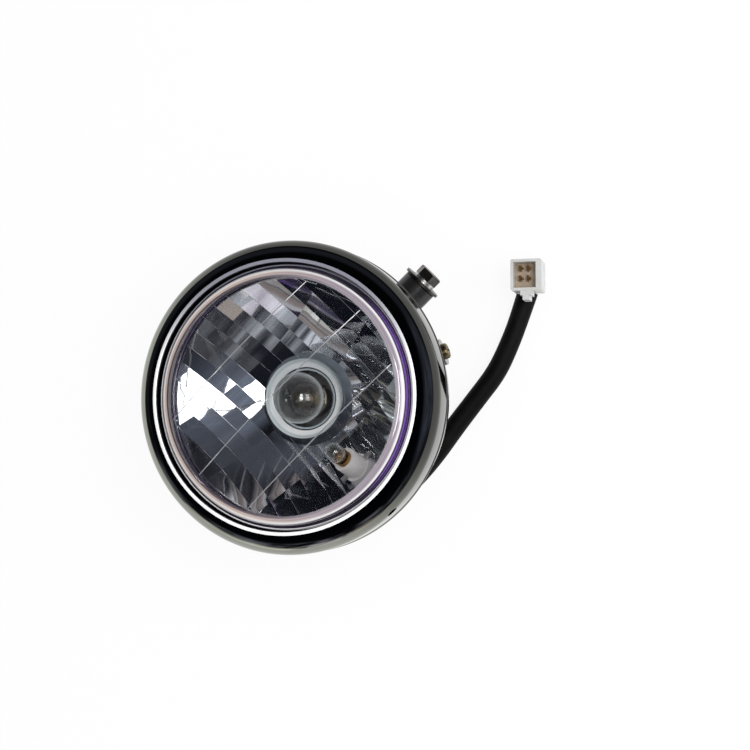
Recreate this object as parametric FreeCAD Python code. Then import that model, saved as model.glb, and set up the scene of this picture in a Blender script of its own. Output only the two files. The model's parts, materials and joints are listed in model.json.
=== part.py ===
import FreeCAD, Part
import math
import os

# Round motorcycle headlight lying on its back. Millimetres.
# +Z is the beam, +X runs along the side bolts, +Y is the top of the lamp as fitted, z = 0 is the flat back.

V = FreeCAD.Vector
ORIGIN = V(0, 0, 0)
AXIS = V(0, 0, 1)
TURN = 360.0

# Fits
SLIP = 0.1  # radial room of a piece that slides into another
LOOSE = 0.3  # radial room of a piece that is pushed over or through another
REACH = 40.0  # how far a cutting tool runs past what it cuts

# Rim
RIM_R = 90.0
RIM_DEPTH = 28.3
LIP_Z = 112.0  # height of the front lip above the back
LIP_IN = 13.8  # from the rim's widest line in to the lip
LIP_BEND_R = 1.6
KNEE_IN = 1.6  # from the rim's widest line in to the knee
KNEE_DROP = 4.6
KNEE_BEND_R = 7.0
RIM_SHEET = 0.9
HEM_BEAD_R = 1.3
HEM_PROUD = 0.35
RETURN_WIDTH = 1.4
RETURN_DROP = 6.5
DRAIN_DROP = 13.0
DRAIN_LENGTH = 6.0
DRAIN_WIDTH = 3.6

# Bucket
BUCKET_IN = 4.0  # from the rim's widest line in to the bucket's mouth
BUCKET_TAPER = 3.4  # by how much the wall would be narrower at the back without the bend
BUCKET_OVERLAP = 9.0  # how far the mouth stands inside the rim
BUCKET_BEND_R = 60.0
BUCKET_SHEET = 1.0

# Side bolts, collars and washers
COLLAR_STAND = 12.03  # from the bucket's wall out to the collar's face, where a fork ear sits
BOLT_Z = 62.0
BOLT_D = 8.0
BOLT_LENGTH = 30.0
BOLT_HEAD_AF = 13.0
BOLT_HEAD_HEIGHT = 5.3
BOLT_CHAMFER = 0.9
COLLAR_R = 10.5
COLLAR_EDGE = 0.8
FLAT_WASHER_R = 12.0
FLAT_WASHER_THICK = 1.5
SPLIT_WASHER_R = 7.2
SPLIT_WASHER_THICK = 2.0
SPLIT_GAP = 1.4
SPLIT_LEAN = 30.0
WELD_NUT_AF = 14.0
WELD_NUT_HEIGHT = 7.0

# Rim fixing screws and the lugs that they pull on
SCREW_AZIMUTHS = (-25.0, -155.0)
SCREW_Z = 50.0
SCREW_D = 5.0
SCREW_LENGTH = 14.0
SCREW_HEAD_R = 4.75
SCREW_HEAD_HEIGHT = 3.0
SCREW_SLOT = 1.2
SCREW_SLOT_LENGTH = 5.7
PAD_R = 8.0
PAD_PROUD = 1.4
LUG_WIDTH = 12.0
LUG_SHEET = 1.2
LUG_TAIL = 7.0  # lug left beyond the screw
LUG_ROOM = 2.6  # from the bucket's inside to the lug at the screw
LUG_NUT_AF = 8.0
LUG_NUT_HEIGHT = 4.0

# Lens
LENS_RISE = 10.0  # crown of the dome above the lip
LENS_DOME_R = 300.0
LENS_ROOM = 2.0  # between the lens and the rim's return edge
LENS_SHOULDER_R = 6.0
LENS_GLASS = 3.0
LENS_FLANGE = 5.2  # how far the flange stands out from the lens's wall
LENS_FLANGE_THICK = 3.2
SEAL_THICK = 1.2

# Reflector
FOCUS = 30.0
MOUTH_IN = 0.4  # from the lens's inner wall in to the reflector's mouth
MOUTH_STEP = 1.2
REFLECTOR_FLANGE = 2.4
REFLECTOR_WALL = 3.0  # along the axis
FACET_STRIPS = 15
FACET_ROWS = 4
FACET_BULGE = 0.35  # crest of a facet above the true bowl
NECK_R = 24.0
NECK_BORE_R = 21.0
NECK_LENGTH = 10.5
NECK_BEAD = 2.4
NECK_BEAD_DROP = 4.0

# Clips that hold the lens and reflector in the rim
CLIP_AZIMUTHS = (45.0, 135.0, 225.0, 315.0)
CLIP_WIDTH = 10.0
CLIP_SHEET = 0.8
CLIP_TAB = 5.0
CLIP_GRIP = 4.5

# Main bulb and its seat
SEAT_DEPTH = 3.4  # from the reflector's vertex plane up to the collar's seat
SEAT_RING_R = 23.8
SEAT_RING_THICK = 1.5
SEAT_RING_EDGE = 0.6
SEAT_RING_RISE = 2.9  # from the dish's inner edge up to its outer one
SEAT_HOLE_R = 17.0
SEAT_TUBE_WALL = 1.2
GLOBE_R = 15.0
GLOBE_CENTRE = 18.8  # above the reflector's vertex
GLOBE_GLASS = 0.8
GLOBE_THROAT_ANGLE = 50.0
GLOBE_NECK_R = 8.0
CAP_R = 10.0
CAP_TOP = 3.8  # above the vertex
CAP_LENGTH = 18.5
CAP_EDGE = 1.2
CAP_PIN_R = 1.0
CAP_PIN_PROUD = 1.5
CAP_PIN_HEIGHT = 5.5
SUPPORT_R = 0.45
SUPPORT_SPREAD = 3.2
SUPPORT_HEIGHTS = (13.5, 16.5, 15.0)
FILAMENT_R = 0.75
SHIELD_R = 2.6

# Bulb socket, its clips and the rubber boot
SOCKET_WALL = 1.0
SOCKET_ABOVE = 10.0  # shell above the reflector neck's end
SOCKET_BELOW = 10.0
SOCKET_FLANGE_R = 26.5
SOCKET_FLANGE_THICK = 1.5
SOCKET_LIP = 2.2
PIN_SLOT = 2.6
CONTACT_THICK = 3.2
CONTACT_STUD_R = 1.6
CONTACT_STUD_SPREAD = 4.0
SOCKET_CLIP_WIDTH = 8.0
SOCKET_CLIP_SHEET = 0.8
SOCKET_CLIP_GRIP = 3.4
BOOT_WALL = 2.0
BOOT_ROOM = 1.2
BOOT_LIP = 3.4
BOOT_DEPTH = 22.0
BOOT_TAPER = 6.0
BOOT_END_R = 9.0
BOOT_HOLE_R = 4.6

# Pilot lamp, through the lower wall of the reflector
PILOT_IN = 11.4  # from the reflector's mouth in to the pilot lamp's hole
PILOT_AIM = V(0, 0.6, 0.8)
HOLDER_R = 8.5
HOLDER_NOSE_R = 7.0
HOLDER_SHOULDER = 4.0
HOLDER_NOSE = 15.0
HOLDER_FLANGE_R = 10.5
HOLDER_FLANGE_THICK = 2.5
HOLDER_TAIL = 8.0
BOSS_R = 11.5
BOSS_DEPTH = 7.5
PILOT_CAP_R = 4.75
PILOT_CAP_LENGTH = 13.0
PILOT_CAP_PROUD = 4.0
PILOT_GLASS_R = 5.0
PILOT_GLASS_LENGTH = 10.5
PILOT_GLASS = 0.6
PILOT_GLASS_ROUND = 4.5
TAB_WIDTH = 4.0
TAB_SHEET = 0.6
TAB_REACH = 4.5
TAB_DROP = 1.2

# Harness: the route is its centre line, from the gland to the plug
SLEEVE_R = 7.0
GLAND_R = 9.5
GLAND_SKIRT_R = 12.0
GLAND_SKIRT = 1.6
GLAND_INSIDE = 6.0
ROUTE = [
    V(-66.75, -27.0, 19.36),
    V(-70.5, -38.5, 12.3),
    V(-66.0, -50.7, 8.0),
    V(-55.0, -59.0, 7.3),
    V(-40.0, -65.5, 7.2),
    V(-21.0, -70.3, 7.2),
    V(0.0, -71.5, 7.2),
    V(22.0, -70.3, 7.2),
    V(45.5, -68.2, 7.2),
    V(69.3, -65.2, 7.2),
    V(88.0, -60.6, 7.2),
    V(105.6, -53.9, 7.2),
    V(121.0, -46.8, 7.2),
    V(136.5, -38.6, 7.2),
]
RADIUS_SHARE = 0.45  # of the shorter run, taken up by each bend

# Plug on the harness
PLUG_PAST = 7.7  # from the sleeve's end to the plug's middle
PLUG_TURN = -44.0
PLUG_WIDTH = 18.6
PLUG_BREADTH = 19.0
PLUG_HEIGHT = 19.0
PLUG_ABOVE_SLEEVE = 0.3
PLUG_CORNER = 1.2
PLUG_WALL = 1.7
PLUG_KEY_WALL = 3.4
SOCKET_DEPTH = 9.8
LATCH_WIDTH = 6.9
LATCH_NOSE = 4.0
LATCH_STEP = 2.8
LATCH_REACH = 5.6
LATCH_HEIGHT = 12.0
TERMINAL_HEIGHT = 4.2
TERMINAL_ROOT = 3.0
TERMINAL_BLADE = 3.4
TERMINAL_SHEET = 0.9
TERMINAL_PITCH_U = 4.6
TERMINAL_PITCH_V = 6.1
TERMINAL_SHIFT_U = -2.0
TERMINAL_SHIFT_V = 1.7
WIRE_R = 1.1
WIRE_SPREAD = 2.3
WIRE_LEAD = 1.2  # straight length at each end of a plug wire

# Looms inside the bucket, from the gland to the main socket and to the pilot lamp
BULB_LOOM_R = 2.5
PILOT_LOOM_R = 1.6
LOOM_SPREAD = 4.0
LOOM_LEAD = 12.0
BULB_LOOM_WAY = [V(-38, -2, 27), V(-15, 0, 14), V(0, 0, 13)]
PILOT_LOOM_WAY = [V(-50, -24, 44), V(-30, -50, 54), V(-8, -68, 60)]

# Levels and radii that follow from the sizes above
HEM_Z = LIP_Z - RIM_DEPTH
LIP_R = RIM_R - LIP_IN
KNEE_R = RIM_R - KNEE_IN
FLANK_R = RIM_R - HEM_PROUD
BUCKET_MOUTH_Z = HEM_Z + BUCKET_OVERLAP
BUCKET_MOUTH_R = RIM_R - BUCKET_IN
BUCKET_FOOT_R = BUCKET_MOUTH_R - BUCKET_TAPER
LENS_WALL_R = LIP_R - RETURN_WIDTH - LENS_ROOM
LENS_FLANGE_R = LENS_WALL_R + LENS_FLANGE
MOUTH_R = LENS_WALL_R - LENS_GLASS - MOUTH_IN
PILOT_Y = PILOT_IN - MOUTH_R
RETURN_FOOT = RETURN_DROP + RIM_SHEET * RETURN_WIDTH / math.hypot(RETURN_WIDTH, RETURN_DROP)
LENS_FLANGE_TOP = LIP_Z - RETURN_FOOT
SEAL_TOP = LENS_FLANGE_TOP - LENS_FLANGE_THICK
MOUTH_Z = SEAL_TOP - SEAL_THICK
FLANGE_BACK = MOUTH_Z - REFLECTOR_FLANGE
CLIP_BACK = FLANGE_BACK - CLIP_SHEET
LUG_TOP = CLIP_BACK - LUG_SHEET
VERTEX_Z = MOUTH_Z - MOUTH_R ** 2 / (4 * FOCUS)
SEAT_Z = VERTEX_Z + SEAT_DEPTH
NECK_END = VERTEX_Z - NECK_LENGTH
GLOBE_Z = VERTEX_Z + GLOBE_CENTRE
CAP_TOP_Z = VERTEX_Z + CAP_TOP
CAP_END = CAP_TOP_Z - CAP_LENGTH
SOCKET_R = CAP_R + LOOSE
COLLAR_FACE = BUCKET_FOOT_R + BUCKET_TAPER * BOLT_Z / BUCKET_MOUTH_Z + COLLAR_STAND
HEAD_SEAT = COLLAR_FACE + FLAT_WASHER_THICK + SPLIT_WASHER_THICK


# Drawing helpers

def rounded_path(points, radii):
    """Straight edges through the points, with a tangent arc at each inner point that has a radius."""
    edges = []
    start = points[0]
    for before, corner, after, radius in zip(points, points[1:], points[2:], radii[1:]):
        if radius <= 0:
            edges.append(Part.LineSegment(start, corner).toShape())
            start = corner
            continue
        coming = (corner - before).normalize()
        going = (after - corner).normalize()
        half = coming.getAngle(going) / 2
        inward = (going - coming).normalize()
        arc_start = corner - coming * (radius * math.tan(half))
        arc_end = corner + going * (radius * math.tan(half))
        arc_middle = corner + inward * (radius / math.cos(half) - radius)
        edges.append(Part.LineSegment(start, arc_start).toShape())
        edges.append(Part.Arc(arc_start, arc_middle, arc_end).toShape())
        start = arc_end
    edges.append(Part.LineSegment(start, points[-1]).toShape())
    return edges


def section(points):
    """Face in the XZ plane from (radius, height) or (radius, height, corner radius) points."""
    corners = [V(point[0], 0, point[1]) for point in points]
    radii = [point[2] if len(point) > 2 else 0 for point in points]
    middle = (corners[0] + corners[-1]) * 0.5
    edges = rounded_path([middle] + corners + [middle], [0] + radii + [0])
    return Part.Face(Part.Wire(edges))


def turned(points):
    """Solid of revolution about the Z axis."""
    return section(points).revolve(ORIGIN, AXIS, TURN)


def offset_chain(points, distance):
    """The chain of (radius, height, corner radius) points, moved to the right of its direction."""
    moved = []
    for index, (r, z, corner) in enumerate(points):
        normals = []
        for first, second in ((index - 1, index), (index, index + 1)):
            if first < 0 or second >= len(points):
                continue
            along_r = points[second][0] - points[first][0]
            along_z = points[second][1] - points[first][1]
            length = math.hypot(along_r, along_z)
            normals.append((along_z / length, -along_r / length))
        a, b = normals[0], normals[-1]
        share = distance / (1 + a[0] * b[0] + a[1] * b[1])
        right_turn = a[0] * b[1] - a[1] * b[0] < 0
        new_corner = corner - distance if right_turn else corner + distance
        if corner <= 0:
            new_corner = 0
        moved.append((r + (a[0] + b[0]) * share, z + (a[1] + b[1]) * share, new_corner))
    return moved


def sheet_ring(points, thickness):
    """Ring of bent sheet: the chain of points is one skin, the other lies to the right of it."""
    return turned(points + offset_chain(points, thickness)[::-1])


def rod(start, direction, radius, length):
    return Part.makeCylinder(radius, length, start, direction)


def block(x0, x1, y0, y1, z0, z1):
    return Part.makeBox(x1 - x0, y1 - y0, z1 - z0, V(x0, y0, z0))


def hexagon(across_flats, x0, x1, height):
    """Hexagonal bar along X at the given height."""
    radius = across_flats / math.sqrt(3)
    corners = [V(x0, radius * math.cos(math.radians(a)), height + radius * math.sin(math.radians(a)))
               for a in range(0, 420, 60)]
    return Part.Face(Part.makePolygon(corners)).extrude(V(x1 - x0, 0, 0))


def around(shape, azimuth):
    copy = shape.copy()
    copy.rotate(ORIGIN, AXIS, azimuth)
    return copy


def both_sides(shape):
    return Part.makeCompound([shape, shape.mirror(ORIGIN, V(1, 0, 0))])


def pipe(points, radii, radius):
    """Round bar along a path of straight runs and tangent arcs."""
    path = Part.Wire(rounded_path(points, radii))
    start = (points[1] - points[0]).normalize()
    circle = Part.Wire(Part.Circle(points[0], start, radius).toShape())
    return path.makePipeShell([circle], True, False)


def bend_radii(points):
    """The largest arc that each corner of a limp cord's route has room for."""
    radii = [0]
    for before, corner, after in zip(points, points[1:], points[2:]):
        coming = corner - before
        going = after - corner
        shorter = min(coming.Length, going.Length)
        radii.append(RADIUS_SHARE * shorter / math.tan(coming.getAngle(going) / 2))
    return radii + [0]


# Forms that several pieces take their seats from

def rim_chain():
    return [
        (LIP_R - RETURN_WIDTH, LIP_Z - RETURN_DROP, 0),
        (LIP_R, LIP_Z, LIP_BEND_R),
        (KNEE_R, LIP_Z - KNEE_DROP, KNEE_BEND_R),
        (FLANK_R, HEM_Z, 0),
    ]


def rim_inside():
    """All the room inside the rim's skin, as one solid."""
    inner = offset_chain(rim_chain(), RIM_SHEET)
    return turned([(0, LIP_Z - RIM_SHEET), inner[1], inner[2], inner[3], (0, HEM_Z)])


def rim_inner_r(z):
    knee, hem = offset_chain(rim_chain(), RIM_SHEET)[2:4]
    return knee[0] + (hem[0] - knee[0]) * (knee[1] - z) / (knee[1] - hem[1])


def bucket_form(grown, top):
    """The bucket's outside, grown by a distance, as one solid up to a level."""
    slope = (BUCKET_MOUTH_R - BUCKET_FOOT_R) / BUCKET_MOUTH_Z
    foot = BUCKET_FOOT_R + grown * math.hypot(1, slope)
    return turned([
        (0, -grown),
        (foot - slope * grown, -grown, BUCKET_BEND_R + grown),
        (foot + slope * top, top),
        (0, top),
    ])


def bucket_r(z, grown=0):
    """Radius of the bucket's outside at a level on its bend."""
    slope = (BUCKET_MOUTH_R - BUCKET_FOOT_R) / BUCKET_MOUTH_Z
    half_turn = (math.pi / 2 - math.atan(slope)) / 2
    centre_r = BUCKET_FOOT_R - BUCKET_BEND_R * math.tan(half_turn)
    below = min(BUCKET_BEND_R, max(0, BUCKET_BEND_R - z))
    return centre_r + math.sqrt((BUCKET_BEND_R + grown) ** 2 - below ** 2)


def pilot_place(shape):
    """Moves a shape drawn along Z onto the pilot lamp's line, with z = 0 on the reflector's face."""
    copy = shape.copy()
    wall_z = VERTEX_Z + PILOT_Y ** 2 / (4 * FOCUS)
    spot = FreeCAD.Placement(V(0, PILOT_Y, wall_z), FreeCAD.Rotation(AXIS, PILOT_AIM))
    copy.Placement = spot.multiply(copy.Placement)
    return copy


def plug_place(shape):
    """Moves a shape drawn on the plug's own axes, with z = 0 on its back, to where the plug lies."""
    copy = shape.copy()
    middle = ROUTE[-1] + (ROUTE[-1] - ROUTE[-2]).normalize() * PLUG_PAST
    middle.z = plug_back()
    spot = FreeCAD.Placement(middle, FreeCAD.Rotation(AXIS, PLUG_TURN))
    copy.Placement = spot.multiply(copy.Placement)
    return copy


def plug_back():
    return ROUTE[-1].z + SLEEVE_R + PLUG_ABOVE_SLEEVE


def gland_line():
    return (ROUTE[1] - ROUTE[0]).normalize()


def gland_exit():
    """Where the harness's line, run back from its first point, comes through the bucket's skin."""
    inward = Part.makeLine(ROUTE[0], ROUTE[0] - gland_line() * REACH)
    inside = inward.common(bucket_form(0, BUCKET_MOUTH_Z))
    return min((vertex.Point for vertex in inside.Vertexes), key=ROUTE[0].distanceToPoint)


# Rim

def make_rim():
    ring = sheet_ring(rim_chain(), RIM_SHEET)
    hem_centre = RIM_R - HEM_BEAD_R
    hem = Part.makeTorus(hem_centre, HEM_BEAD_R, V(0, 0, HEM_Z), AXIS)
    slot_z = LIP_Z - DRAIN_DROP
    half_flat = (DRAIN_LENGTH - DRAIN_WIDTH) / 2
    slot = block(-half_flat, half_flat, -RIM_R - 1, -LIP_R, slot_z - DRAIN_WIDTH / 2, slot_z + DRAIN_WIDTH / 2)
    for end in (-half_flat, half_flat):
        slot = slot.fuse(rod(V(end, -LIP_R, slot_z), V(0, -1, 0), DRAIN_WIDTH / 2, RIM_R + 1 - LIP_R))
    return ring.fuse(hem).cut(slot).removeSplitter()


def lug_face():
    """Distance from the axis to the outside of the lug's long leg."""
    return bucket_r(SCREW_Z, -BUCKET_SHEET) - LUG_ROOM


def make_lug():
    face = lug_face()
    half = LUG_WIDTH / 2
    foot = block(face - LUG_SHEET, RIM_R, -half, half, LUG_TOP - LUG_SHEET, LUG_TOP).common(rim_inside())
    leg = block(face - LUG_SHEET, face, -half, half, SCREW_Z - LUG_TAIL, LUG_TOP)
    hole = rod(V(0, 0, SCREW_Z), V(1, 0, 0), SCREW_D / 2 + SLIP, RIM_R)
    return foot.fuse(leg).cut(hole).removeSplitter()


def make_lug_nut():
    back = lug_face() - LUG_SHEET
    nut = hexagon(LUG_NUT_AF, back - LUG_NUT_HEIGHT, back, SCREW_Z)
    return nut.cut(rod(V(0, 0, SCREW_Z), V(1, 0, 0), SCREW_D / 2 + SLIP / 2, RIM_R))


def pad_face():
    return bucket_r(SCREW_Z) + PAD_PROUD


def make_rim_screw():
    seat = pad_face()
    shank = rod(V(seat - SCREW_LENGTH, 0, SCREW_Z), V(1, 0, 0), SCREW_D / 2, SCREW_LENGTH)
    head = rod(V(seat, 0, SCREW_Z), V(1, 0, 0), SCREW_HEAD_R, SCREW_HEAD_HEIGHT)
    outer_rim = [edge for edge in head.Edges if abs(edge.CenterOfMass.x - seat - SCREW_HEAD_HEIGHT) < SLIP]
    head = head.makeFillet(SCREW_HEAD_HEIGHT / 2, outer_rim[:1])
    top = seat + SCREW_HEAD_HEIGHT
    slot_depth = SCREW_HEAD_HEIGHT / 2
    arm = block(top - slot_depth, top + 1, -SCREW_SLOT_LENGTH / 2, SCREW_SLOT_LENGTH / 2,
                SCREW_Z - SCREW_SLOT / 2, SCREW_Z + SCREW_SLOT / 2)
    cross = arm.copy()
    cross.rotate(V(0, 0, SCREW_Z), V(1, 0, 0), 90)
    return shank.fuse(head).cut(arm).cut(cross).removeSplitter()


def make_clip():
    half = CLIP_WIDTH / 2
    grip = LENS_FLANGE_R - CLIP_GRIP
    plate = block(grip, RIM_R, -half, half, CLIP_BACK, FLANGE_BACK)
    tab = block(LENS_FLANGE_R + CLIP_SHEET, RIM_R, -half, half, CLIP_BACK, FLANGE_BACK + CLIP_TAB)
    inside = rim_inside()
    core = Part.makeCylinder(rim_inner_r(FLANGE_BACK + CLIP_TAB) - CLIP_SHEET, LIP_Z)
    return plate.common(inside).fuse(tab.common(inside).cut(core)).removeSplitter()


# Bucket with its pads, bolt holes and harness hole

def make_bucket():
    shell = bucket_form(0, BUCKET_MOUTH_Z)
    bead_outer = rim_inner_r(BUCKET_MOUTH_Z) - LOOSE
    bead_inner = BUCKET_MOUTH_R - BUCKET_SHEET / 2
    bead_r = (bead_outer - bead_inner) / 2
    bead = Part.makeTorus(bead_outer - bead_r, bead_r, V(0, 0, BUCKET_MOUTH_Z - bead_r), AXIS)
    shell = shell.fuse(bead)
    pad = rod(V(bucket_r(SCREW_Z) - PAD_R, 0, SCREW_Z), V(1, 0, 0), PAD_R, PAD_R + PAD_PROUD)
    for azimuth in SCREW_AZIMUTHS:
        shell = shell.fuse(around(pad, azimuth))
    shell = shell.cut(bucket_form(-BUCKET_SHEET, BUCKET_MOUTH_Z + REACH))
    screw_hole = rod(V(0, 0, SCREW_Z), V(1, 0, 0), SCREW_D / 2 + LOOSE, RIM_R)
    for azimuth in SCREW_AZIMUTHS:
        shell = shell.cut(around(screw_hole, azimuth))
    bolt_hole = rod(V(-RIM_R, 0, BOLT_Z), V(1, 0, 0), BOLT_D / 2 + LOOSE, 2 * RIM_R)
    shell = shell.cut(bolt_hole)
    gland_hole = rod(gland_exit() - gland_line() * REACH, gland_line(), GLAND_R, 2 * REACH)
    return shell.cut(gland_hole).removeSplitter()


# Side bolt stack, drawn on the +X side. The bolt and its washers are fitted on that side alone.

def make_collar():
    tube = rod(V(0, 0, BOLT_Z), V(1, 0, 0), COLLAR_R, COLLAR_FACE)
    face_edge = [edge for edge in tube.Edges if abs(edge.CenterOfMass.x - COLLAR_FACE) < SLIP]
    tube = tube.makeChamfer(COLLAR_EDGE, face_edge[:1])
    tube = tube.cut(bucket_form(0, BUCKET_MOUTH_Z))
    return tube.cut(rod(V(0, 0, BOLT_Z), V(1, 0, 0), BOLT_D / 2 + LOOSE, RIM_R * 2))


def make_weld_nut():
    wall = bucket_r(BUCKET_BEND_R, -BUCKET_SHEET)
    nut = hexagon(WELD_NUT_AF, wall - WELD_NUT_HEIGHT, wall + REACH, BOLT_Z)
    nut = nut.common(bucket_form(-BUCKET_SHEET, BUCKET_MOUTH_Z))
    return nut.cut(rod(V(0, 0, BOLT_Z), V(1, 0, 0), BOLT_D / 2 + SLIP / 2, RIM_R * 2))


def washer(x0, thickness, outer):
    ring = rod(V(x0, 0, BOLT_Z), V(1, 0, 0), outer, thickness)
    return ring.cut(rod(V(x0 - 1, 0, BOLT_Z), V(1, 0, 0), BOLT_D / 2 + LOOSE, thickness + 2))


def make_split_washer():
    start = COLLAR_FACE + FLAT_WASHER_THICK
    ring = washer(start, SPLIT_WASHER_THICK, SPLIT_WASHER_R)
    slit = block(start - SPLIT_WASHER_THICK, start + 2 * SPLIT_WASHER_THICK, -SPLIT_GAP / 2, SPLIT_GAP / 2,
                 BOLT_Z - 2 * SPLIT_WASHER_R, BOLT_Z)
    slit.rotate(V(start + SPLIT_WASHER_THICK / 2, 0, BOLT_Z), AXIS, SPLIT_LEAN)
    return ring.cut(slit)


def make_bolt():
    head = hexagon(BOLT_HEAD_AF, HEAD_SEAT, HEAD_SEAT + BOLT_HEAD_HEIGHT, BOLT_Z)
    corner_r = BOLT_HEAD_AF / math.sqrt(3)
    cone = Part.makeCone(
        corner_r + BOLT_HEAD_HEIGHT * 2, corner_r - BOLT_CHAMFER, BOLT_HEAD_HEIGHT,
        V(HEAD_SEAT, 0, BOLT_Z), V(1, 0, 0))
    shank = rod(V(HEAD_SEAT - BOLT_LENGTH, 0, BOLT_Z), V(1, 0, 0), BOLT_D / 2, BOLT_LENGTH)
    end = [edge for edge in shank.Edges if abs(edge.CenterOfMass.x - HEAD_SEAT + BOLT_LENGTH) < SLIP]
    shank = shank.makeChamfer(BOLT_CHAMFER, end[:1])
    return head.common(cone).fuse(shank).removeSplitter()


# Lens and its seal

def dome_skin(inset):
    """Dome, shoulder arc and wall of the lens, pushed in by a distance, as edges from the axis down."""
    dome_r = LENS_DOME_R - inset
    shoulder_r = LENS_SHOULDER_R - inset
    dome_centre = LIP_Z + LENS_RISE - LENS_DOME_R
    centre_r = LENS_WALL_R - LENS_SHOULDER_R
    reach = LENS_DOME_R - LENS_SHOULDER_R
    centre_z = dome_centre + math.sqrt(reach ** 2 - centre_r ** 2)
    lean = math.asin(centre_r / reach)
    crown = V(0, 0, dome_centre + dome_r)
    meet = V(dome_r * math.sin(lean), 0, dome_centre + dome_r * math.cos(lean))
    between = V(dome_r * math.sin(lean / 2), 0, dome_centre + dome_r * math.cos(lean / 2))
    halfway = (math.pi / 2 + lean) / 2
    turn = V(centre_r + shoulder_r * math.sin(halfway), 0, centre_z + shoulder_r * math.cos(halfway))
    wall_top = V(centre_r + shoulder_r, 0, centre_z)
    arcs = [Part.Arc(crown, between, meet).toShape(), Part.Arc(meet, turn, wall_top).toShape()]
    return arcs, crown, wall_top


def make_lens():
    outer, crown, wall_top = dome_skin(0)
    inner, inner_crown, inner_wall_top = dome_skin(LENS_GLASS)
    foot = [
        wall_top,
        V(wall_top.x, 0, LENS_FLANGE_TOP),
        V(LENS_FLANGE_R, 0, LENS_FLANGE_TOP),
        V(LENS_FLANGE_R, 0, SEAL_TOP),
        V(inner_wall_top.x, 0, SEAL_TOP),
        inner_wall_top,
    ]
    edges = outer + inner + [Part.makePolygon(foot), Part.makeLine(inner_crown, crown)]
    wire = Part.Wire(Part.__sortEdges__([edge for shape in edges for edge in shape.Edges]))
    return Part.Face(wire).revolve(ORIGIN, AXIS, TURN)


def make_seal():
    inner = LENS_WALL_R - LENS_GLASS
    return turned([(inner, MOUTH_Z), (LENS_FLANGE_R, MOUTH_Z), (LENS_FLANGE_R, SEAL_TOP), (inner, SEAL_TOP)])


# Multi-facet reflector

def bowl_z(r, drop=0):
    return VERTEX_Z - drop + r ** 2 / (4 * FOCUS)


def reflector_blank():
    """Outside of the reflector with its flange, neck and neck bead, filled solid."""
    top_r = math.sqrt((FLANGE_BACK - VERTEX_Z + REFLECTOR_WALL) * 4 * FOCUS)
    steps = 6
    bowl_points = []
    for step in range(steps + 1):
        r = NECK_R + (top_r - NECK_R) * step / steps
        bowl_points.append(V(r, 0, bowl_z(r, REFLECTOR_WALL)))
    bowl = Part.BSplineCurve()
    bowl.interpolate(bowl_points)
    rest = [
        bowl_points[-1],
        V(LENS_FLANGE_R, 0, FLANGE_BACK),
        V(LENS_FLANGE_R, 0, MOUTH_Z),
        V(0, 0, MOUTH_Z),
        V(0, 0, NECK_END),
        V(NECK_R, 0, NECK_END),
        bowl_points[0],
    ]
    wire = Part.Wire([bowl.toShape()] + Part.makePolygon(rest).Edges)
    blank = Part.Face(wire).revolve(ORIGIN, AXIS, TURN)
    bead = Part.makeCylinder(NECK_R + NECK_BEAD, NECK_BEAD, V(0, 0, NECK_END + NECK_BEAD_DROP))
    boss = pilot_place(Part.makeCylinder(BOSS_R, BOSS_DEPTH, V(0, 0, -BOSS_DEPTH)))
    return blank.fuse(bead).fuse(boss)


def facet_strip(index):
    """Cutter for one upright strip of facets: a chain of bulged arcs pushed along the bowl's slope."""
    width = 2 * MOUTH_R / FACET_STRIPS
    x0 = -MOUTH_R + index * width
    x1 = x0 + width
    rise = (x1 ** 2 - x0 ** 2) / (4 * FOCUS)
    row = 2 * MOUTH_R / FACET_ROWS
    ends = [-MOUTH_R + step * row for step in range(FACET_ROWS + 1)]
    corners = [V(x0, y, bowl_z(math.hypot(x0, y))) for y in ends]
    edges = []
    for start, end in zip(corners, corners[1:]):
        y_middle = (start.y + end.y) / 2
        crest = V(x0, y_middle, bowl_z(math.hypot(x0, y_middle)) + FACET_BULGE)
        edges.append(Part.Arc(start, crest, end).toShape())
    top = LIP_Z + REACH
    first, last = corners[0], corners[-1]
    closing = [last, V(x0, last.y, top), V(x0, first.y, top), first]
    wire = Part.Wire(edges + Part.makePolygon(closing).Edges)
    return Part.Face(wire).extrude(V(width, 0, rise))


def make_reflector():
    body = reflector_blank()
    strips = [facet_strip(index) for index in range(FACET_STRIPS)]
    mouth = Part.makeCylinder(MOUTH_R, REACH, V(0, 0, MOUTH_Z - MOUTH_STEP))
    seat = Part.makeCylinder(SEAT_RING_R + SLIP, REACH, V(0, 0, SEAT_Z))
    bore = Part.makeCylinder(NECK_BORE_R, REACH, V(0, 0, NECK_END - 1))
    pilot_hole = pilot_place(Part.makeCylinder(HOLDER_R + SLIP, REACH, V(0, 0, -REACH / 2)))
    return body.cut(strips + [mouth, seat, bore, pilot_hole]).removeSplitter()


# Main bulb, its seat and socket

def make_seat_ring():
    outer = NECK_BORE_R - SLIP
    inner = outer - SEAT_TUBE_WALL
    top = SEAT_Z + SEAT_RING_THICK
    return turned([
        (SEAT_HOLE_R, SEAT_Z), (SEAT_HOLE_R, top, SEAT_RING_EDGE),
        (SEAT_RING_R, top + SEAT_RING_RISE, SEAT_RING_EDGE), (SEAT_RING_R, SEAT_Z),
        (outer, SEAT_Z), (outer, NECK_END), (inner, NECK_END), (inner, SEAT_Z),
    ])


def globe_edges(inset):
    r = GLOBE_R - inset
    angle = math.radians(GLOBE_THROAT_ANGLE)
    crown = V(0, 0, GLOBE_Z + r)
    throat = V(r * math.cos(angle), 0, GLOBE_Z - r * math.sin(angle))
    side = V(r, 0, GLOBE_Z)
    neck = V(GLOBE_NECK_R - inset, 0, CAP_TOP_Z)
    edges = [Part.Arc(crown, side, throat).toShape(), Part.makeLine(throat, neck)]
    return edges, crown, neck


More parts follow.
